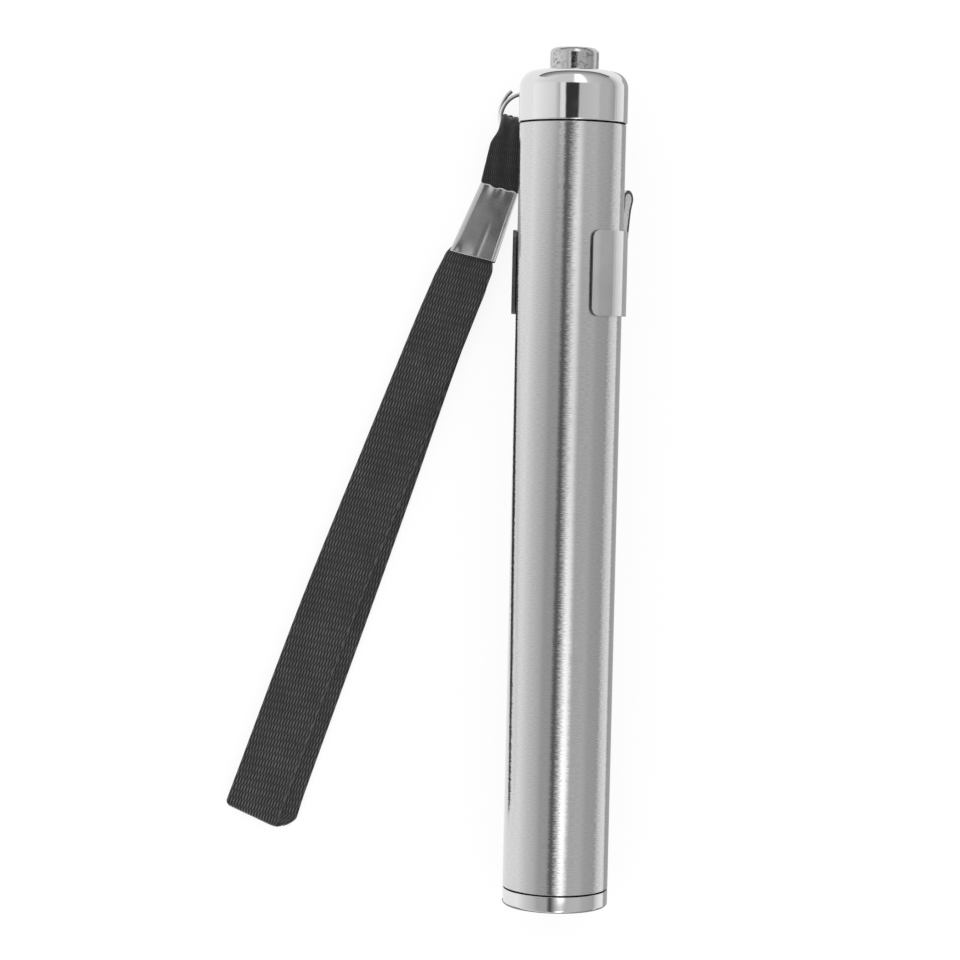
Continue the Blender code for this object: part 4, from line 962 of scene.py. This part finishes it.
def make_ferrule():
    """The crimped sleeve: a flattened tube, wider below, with a crease, a dent and a lumpy upper rim."""
    top_right, top_left, low_right, low_left = (corner + RING_CENTRE.xy for corner in FERRULE_CORNERS)
    ahead = (low_right + low_left - top_right - top_left).normalized()
    middle_z = FERRULE_HEIGHT / 2 + TABLE_GAP
    section = []
    signs = ((1, 1), (-1, 1), (-1, -1), (1, -1))
    for quarter, one in enumerate(signs):
        two = signs[(quarter + 1) % 4]
        turns = [math.pi / 2 * (quarter + i / CORNER_STEPS) for i in range(CORNER_STEPS + 1)]
        section += [(*one, math.cos(turn), math.sin(turn)) for turn in turns]
        flats = FERRULE_FLATS[quarter % 2]
        for i in range(1, flats):
            spot = Vector(one).lerp(Vector(two), i / flats)
            section.append((*spot, math.cos(turns[-1]), math.sin(turns[-1])))

    def place(i, part, depth):
        right, left = top_right.lerp(low_right, part), top_left.lerp(low_left, part)
        half = (left - right).length / 2
        flat_x, flat_y, round_x, round_y = section[i]
        corner = FERRULE_CORNER
        side = flat_x * (half - corner) + round_x * (corner - depth)
        rise = flat_y * (FERRULE_HEIGHT / 2 - corner) + round_y * (corner - depth)
        top = max(0.0, round_y)
        crease = math.exp(-((side - CREASE_SIDE) / CREASE_WIDTH) ** 2)
        crease *= min(1.0, max(0.0, (part - CREASE_START) / CREASE_RUN))
        dent = math.exp(-((side - DENT_SIDE) / DENT_WIDTH) ** 2 - ((part - 1.0) / DENT_RUN) ** 2)
        rise -= top * (CREASE_DEPTH * crease + DENT_DEPTH * dent + FERRULE_ROLL * side)
        lump = math.sin(LUMP_WAVES * side / half) * math.sin(LUMP_BEATS * side / half + 1.0)
        lump *= FERRULE_LUMP * (1.0 - part) ** LUMP_FADE
        spot = right.lerp(left, 0.5 + side / half / 2) + ahead * LUMP_LENGTH * lump
        return Vector((*spot, middle_z + rise + top * lump))

    bm = bmesh.new()
    shells = []
    for depth in (0.0, FERRULE_WALL):
        parts = [j / FERRULE_ROWS for j in range(FERRULE_ROWS + 1)]
        grid = [[bm.verts.new(place(i, part, depth)) for i in range(len(section))] for part in parts]
        shells.append(grid)
        bridge(bm, grid, ends=False)
    rims = []
    for outer, inner in ((shells[0][0], shells[1][0]), (shells[0][-1], shells[1][-1])):
        for i in range(len(section)):
            k = (i + 1) % len(section)
            bm.faces.new((outer[i], outer[k], inner[k], inner[i]))
            rims.append(bm.edges.get((outer[i], outer[k])))
    bmesh.ops.recalc_face_normals(bm, faces=bm.faces)
    bmesh.ops.bevel(bm, geom=rims, offset=FERRULE_RIM, segments=3, profile=0.5,
                    affect="EDGES", clamp_overlap=True)
    return add_piece("ferrule_sleeve", bm, "plated_ferrule", "strap", "strap_ferrule")


def make_strap():
    ferrule = make_ferrule()
    for name, layer, pieces in (("web_upper", UPPER, [ferrule]), ("web_lower", LOWER, [])):
        web, path = make_web(name, layer)


def finish_cad():
    """Give every CAD node that still shows the finish of its slot."""
    for part in frame["record"]["subparts"]:
        node = frame["nodes"][part["node"]]
        for slot in node.material_slots:
            slot.material = FINISHES[part["material_slot"]]


# Studio. Angles of the light tent are in degrees from straight up, growing towards +X. A level of 1 is white.
TENT_RADIUS = 0.14
SOFT_LIGHT_RADIUS = 0.99 * TENT_RADIUS
TENT_HALF_LENGTH = 0.45
TOP_LEVEL = 2.0
# The walls with the gap between them, the strip light beside the gap, and how both change along Y
WALLS = ((-90, 0.97), (-67, 0.71), (-46, 0.56), (-36, 0.42), (-19, 0.41), (-15, 0.17), (-11, 0.07),
         (-7, 0.19), (0, 0.42), (27, 0.53), (49, 0.55), (59, 0.46), (90, 0.41))
WALL_GAIN = ((-0.08, 1.1), (-0.01, 1.0), (0.02, 1.0), (0.034, 1.13))
STRIP = ((-8, 0.0), (-3, 0.12), (2, 0.42), (6, 0.95), (10, 1.0), (14, 0.88), (18, 0.4), (23, 0.0))
STRIP_GAIN = ((-0.2, 1.9), (-0.12, 1.9), (-0.1, 0.3), (-0.0856, 0.3), (-0.0849, 1.9), (-0.08, 1.65),
              (-0.06, 1.2), (-0.01, 0.56), (0.02, 0.5), (0.034, 0.8))
# The panels that the tail cap sees: over its side, with a black gap, and over its round edge
TAIL_PANELS = ((-90, 1.1), (-37, 0.82), (-28, 0.5), (-26, 0.9), (-18, 0.95), (-15, 0.04), (7.5, 0.04),
               (10.5, 0.6), (46, 0.68), (52, 0.55), (70, 0.55), (90, 0.4))
TAIL_START = (0.05, 0.053)
END_PANELS = ((-90, 1.0), (-35, 0.75), (-4, 0.75), (3, 1.6), (20, 1.6), (27, 0.7), (90, 0.45))
END_START = (0.072, 0.09)
# Cards that only reflections see. Upright behind the tail: bottom, top and level
END_CARDS = ((0.0, 0.012, 0.18), (0.012, 0.021, 0.34), (0.021, 0.032, 0.5))
END_CARD_Y = 0.105
END_CARD_HALF = 0.06
# Bands of the floor to the right: near and far edge and level
FLOOR_BANDS = ((0.03, 0.042, 0.92), (0.042, 0.064, 0.82), (0.064, 0.139, 0.64))
FLOOR_BAND_Y = (-0.085, 0.2)
# Darker cards on the floor before the light end, to the right and to the left: painted shadow of the torch on the
# floor, seen only in reflections. Outline and level
FLOOR_SHADOW_CARDS = (
    (((-0.009, -0.0592), (0.009, -0.0592), (0.2, -0.15), (0.2, -0.5), (-0.2, -0.5), (-0.2, -0.15)), 0.25),
    (((0.008, -0.062), (0.0182, -0.062), (0.0208, -0.028), (0.0222, 0.004), (0.0222, 0.062),
      (0.008, 0.062)), 0.45),
    (((-0.0156, -0.0475), (-0.0205, -0.0475), (-0.0195, -0.0273), (-0.0164, 0.0), (-0.0115, 0.0475),
      (-0.0068, 0.0475), (-0.0102, 0.0), (-0.0137, -0.0273)), 0.04),
)
CARD_HEIGHT = 0.0005
BAND_HEIGHT = 0.0006
FLOOR_PAPER = 0.82
FLOOR_GLOW = 0.865
FLOOR_SHADE = 0.155
FLOOR_SIZE = 4.0


def add_stage(name, faces, finish):
    """A mesh that belongs to the studio and that the camera doesn't see."""
    bm = bmesh.new()
    for corners in faces:
        bm.faces.new([bm.verts.new(corner) for corner in corners])
    obj = add_mesh(name, bm)
    obj.data.materials.append(finish.mat)
    obj.visible_camera = False
    return obj


def add_light(name, faces, finish, level):
    """A studio mesh that glows at a level, which may come from a node of its finish."""
    glow = finish.node("Emission", {"Strength": level})
    finish.tree.links.new(glow.outputs[0], finish.tree.nodes["Material Output"].inputs["Surface"])
    finish.tree.nodes.remove(finish.shader)
    return add_stage(name, faces, finish)


def curve(finish, value, stops):
    """Map a value through stops of place and level, straight between them."""
    low, high = stops[0][0], stops[-1][0]
    ramp = finish.node("ValToRGB", {0: finish.spread(value, 0.0, 1.0, low, high)})
    marks = ramp.color_ramp.elements
    while len(marks) < len(stops):
        marks.new(0.5)
    for mark, (place, level) in zip(marks, stops):
        mark.position = (place - low) / (high - low)
        mark.color = (*grey(level / TOP_LEVEL), 1.0)
    return finish.math("MULTIPLY", ramp.outputs[0], TOP_LEVEL)


def tent_faces(radius):
    rim = [math.pi * (i / TENT_STEPS - 0.5) for i in range(TENT_STEPS + 1)]
    start, end = ([(radius * math.sin(turn), y, radius * math.cos(turn)) for turn in rim]
                  for y in (-TENT_HALF_LENGTH, TENT_HALF_LENGTH))
    return list(zip(start, start[1:], end[1:], end))


def make_tent():
    """A half round light tent: metal sees bright and dark panels, dull surfaces an even light of level 1."""
    finish = Finish("tent_light", grey(0.0), 1.0)
    parts = finish.node("SeparateXYZ", {0: finish.object_coords()}).outputs
    angle = finish.math("DEGREES", finish.math("ARCTAN2", parts["X"], parts["Z"]))
    walls = finish.math("MULTIPLY", curve(finish, angle, WALLS), curve(finish, parts["Y"], WALL_GAIN))
    strip = finish.math("MULTIPLY", curve(finish, angle, STRIP), curve(finish, parts["Y"], STRIP_GAIN))
    level = finish.math("ADD", walls, strip)
    for (start, end), panels in ((TAIL_START, TAIL_PANELS), (END_START, END_PANELS)):
        share = finish.spread(parts["Y"], 0.0, 1.0, start, end)
        level = finish.node("Mix", {0: share, 2: level, 3: curve(finish, angle, panels)}).outputs[0]
    tent = add_light("light_tent", tent_faces(TENT_RADIUS), finish, level)
    tent.visible_diffuse = False
    even = add_light("soft_light", tent_faces(SOFT_LIGHT_RADIUS), Finish("soft_light", grey(0.0), 1.0), 1.0)
    even.visible_glossy = even.visible_transmission = even.visible_shadow = False


def make_cards():
    # The first cards are the floor's painted shadow, seen only in reflections.
    cards = [([(*corner, CARD_HEIGHT) for corner in corners], level) for corners, level in FLOOR_SHADOW_CARDS]
    start, end = FLOOR_BAND_Y
    for near, far, level in FLOOR_BANDS:
        corners = ((near, start), (far, start), (far, end), (near, end))
        cards.append(([(*corner, BAND_HEIGHT) for corner in corners], level))
    for low, high, level in END_CARDS:
        ends = ((-END_CARD_HALF, low), (END_CARD_HALF, low), (END_CARD_HALF, high), (-END_CARD_HALF, high))
        cards.append(([(x, END_CARD_Y, z) for x, z in ends], level))
    for i, (corners, level) in enumerate(cards):
        card = add_light(f"card_{i}", [corners], Finish(f"card_{i}", grey(0.0), 1.0), level)
        card.visible_diffuse = card.visible_shadow = card.visible_transmission = False


def make_floor():
    """A pale floor that shows white with a faint shadow, in reflections too, and bounces light as paper."""
    half = FLOOR_SIZE / 2
    finish = Finish("pale_floor", grey(FLOOR_PAPER), 0.9)
    path = finish.node("LightPath", {}).outputs
    shown = finish.math("MAXIMUM", path["Is Camera Ray"], path["Is Glossy Ray"])
    shown = finish.math("MAXIMUM", shown, path["Is Transmission Ray"])
    glow = finish.node("Emission", {"Color": (*grey(1.0), 1.0), "Strength": FLOOR_GLOW})
    shade = finish.node("BsdfDiffuse", {"Color": (*grey(FLOOR_SHADE), 1.0)})
    white = finish.node("AddShader", {0: glow.outputs[0], 1: shade.outputs[0]})
    mixed = finish.node("MixShader", {0: shown, 1: finish.shader.outputs[0], 2: white.outputs[0]})
    finish.tree.links.new(mixed.outputs[0], finish.tree.nodes["Material Output"].inputs["Surface"])
    corners = [(-half, -half, 0.0), (half, -half, 0.0), (half, half, 0.0), (-half, half, 0.0)]
    add_stage("floor", [corners], finish).visible_camera = True


def make_light():
    world = bpy.data.worlds.new("studio")
    bpy.context.scene.world = world
    world.use_nodes = True
    background = world.node_tree.nodes["Background"].inputs
    background["Color"].default_value = (*grey(1.0), 1.0)
    background["Strength"].default_value = 1.0
    make_tent()
    make_cards()


# Camera, fitted to the photograph: straight above the table, a long lens, turned a little
CAMERA_PLACE = Vector((TORCH.translation.x - 11.587 * MM, TORCH.translation.y + 66.378 * MM, 393.07 * MM))
CAMERA_TILT = math.radians(-1.1966)
CAMERA_ROLL = math.radians(1.2816)
CAMERA_LENS = 105.0
CAMERA_SENSOR = 36.0


def make_camera():
    data = bpy.data.cameras.new("camera")
    data.lens = CAMERA_LENS
    data.sensor_width = CAMERA_SENSOR
    data.clip_start = 0.01
    camera = add_object("camera", data)
    turn = Matrix.Rotation(CAMERA_TILT, 4, "X") @ Matrix.Rotation(CAMERA_ROLL, 4, "Z")
    camera.matrix_world = Matrix.Translation(CAMERA_PLACE) @ turn
    bpy.context.scene.camera = camera


def build():
    bpy.context.scene.view_settings.view_transform = "Standard"
    finish_cad()
    make_barrel()
    make_tail()
    make_coil()
    make_clip()
    make_ring()
    make_strap()
    make_floor()
    make_light()
    make_camera()


build()
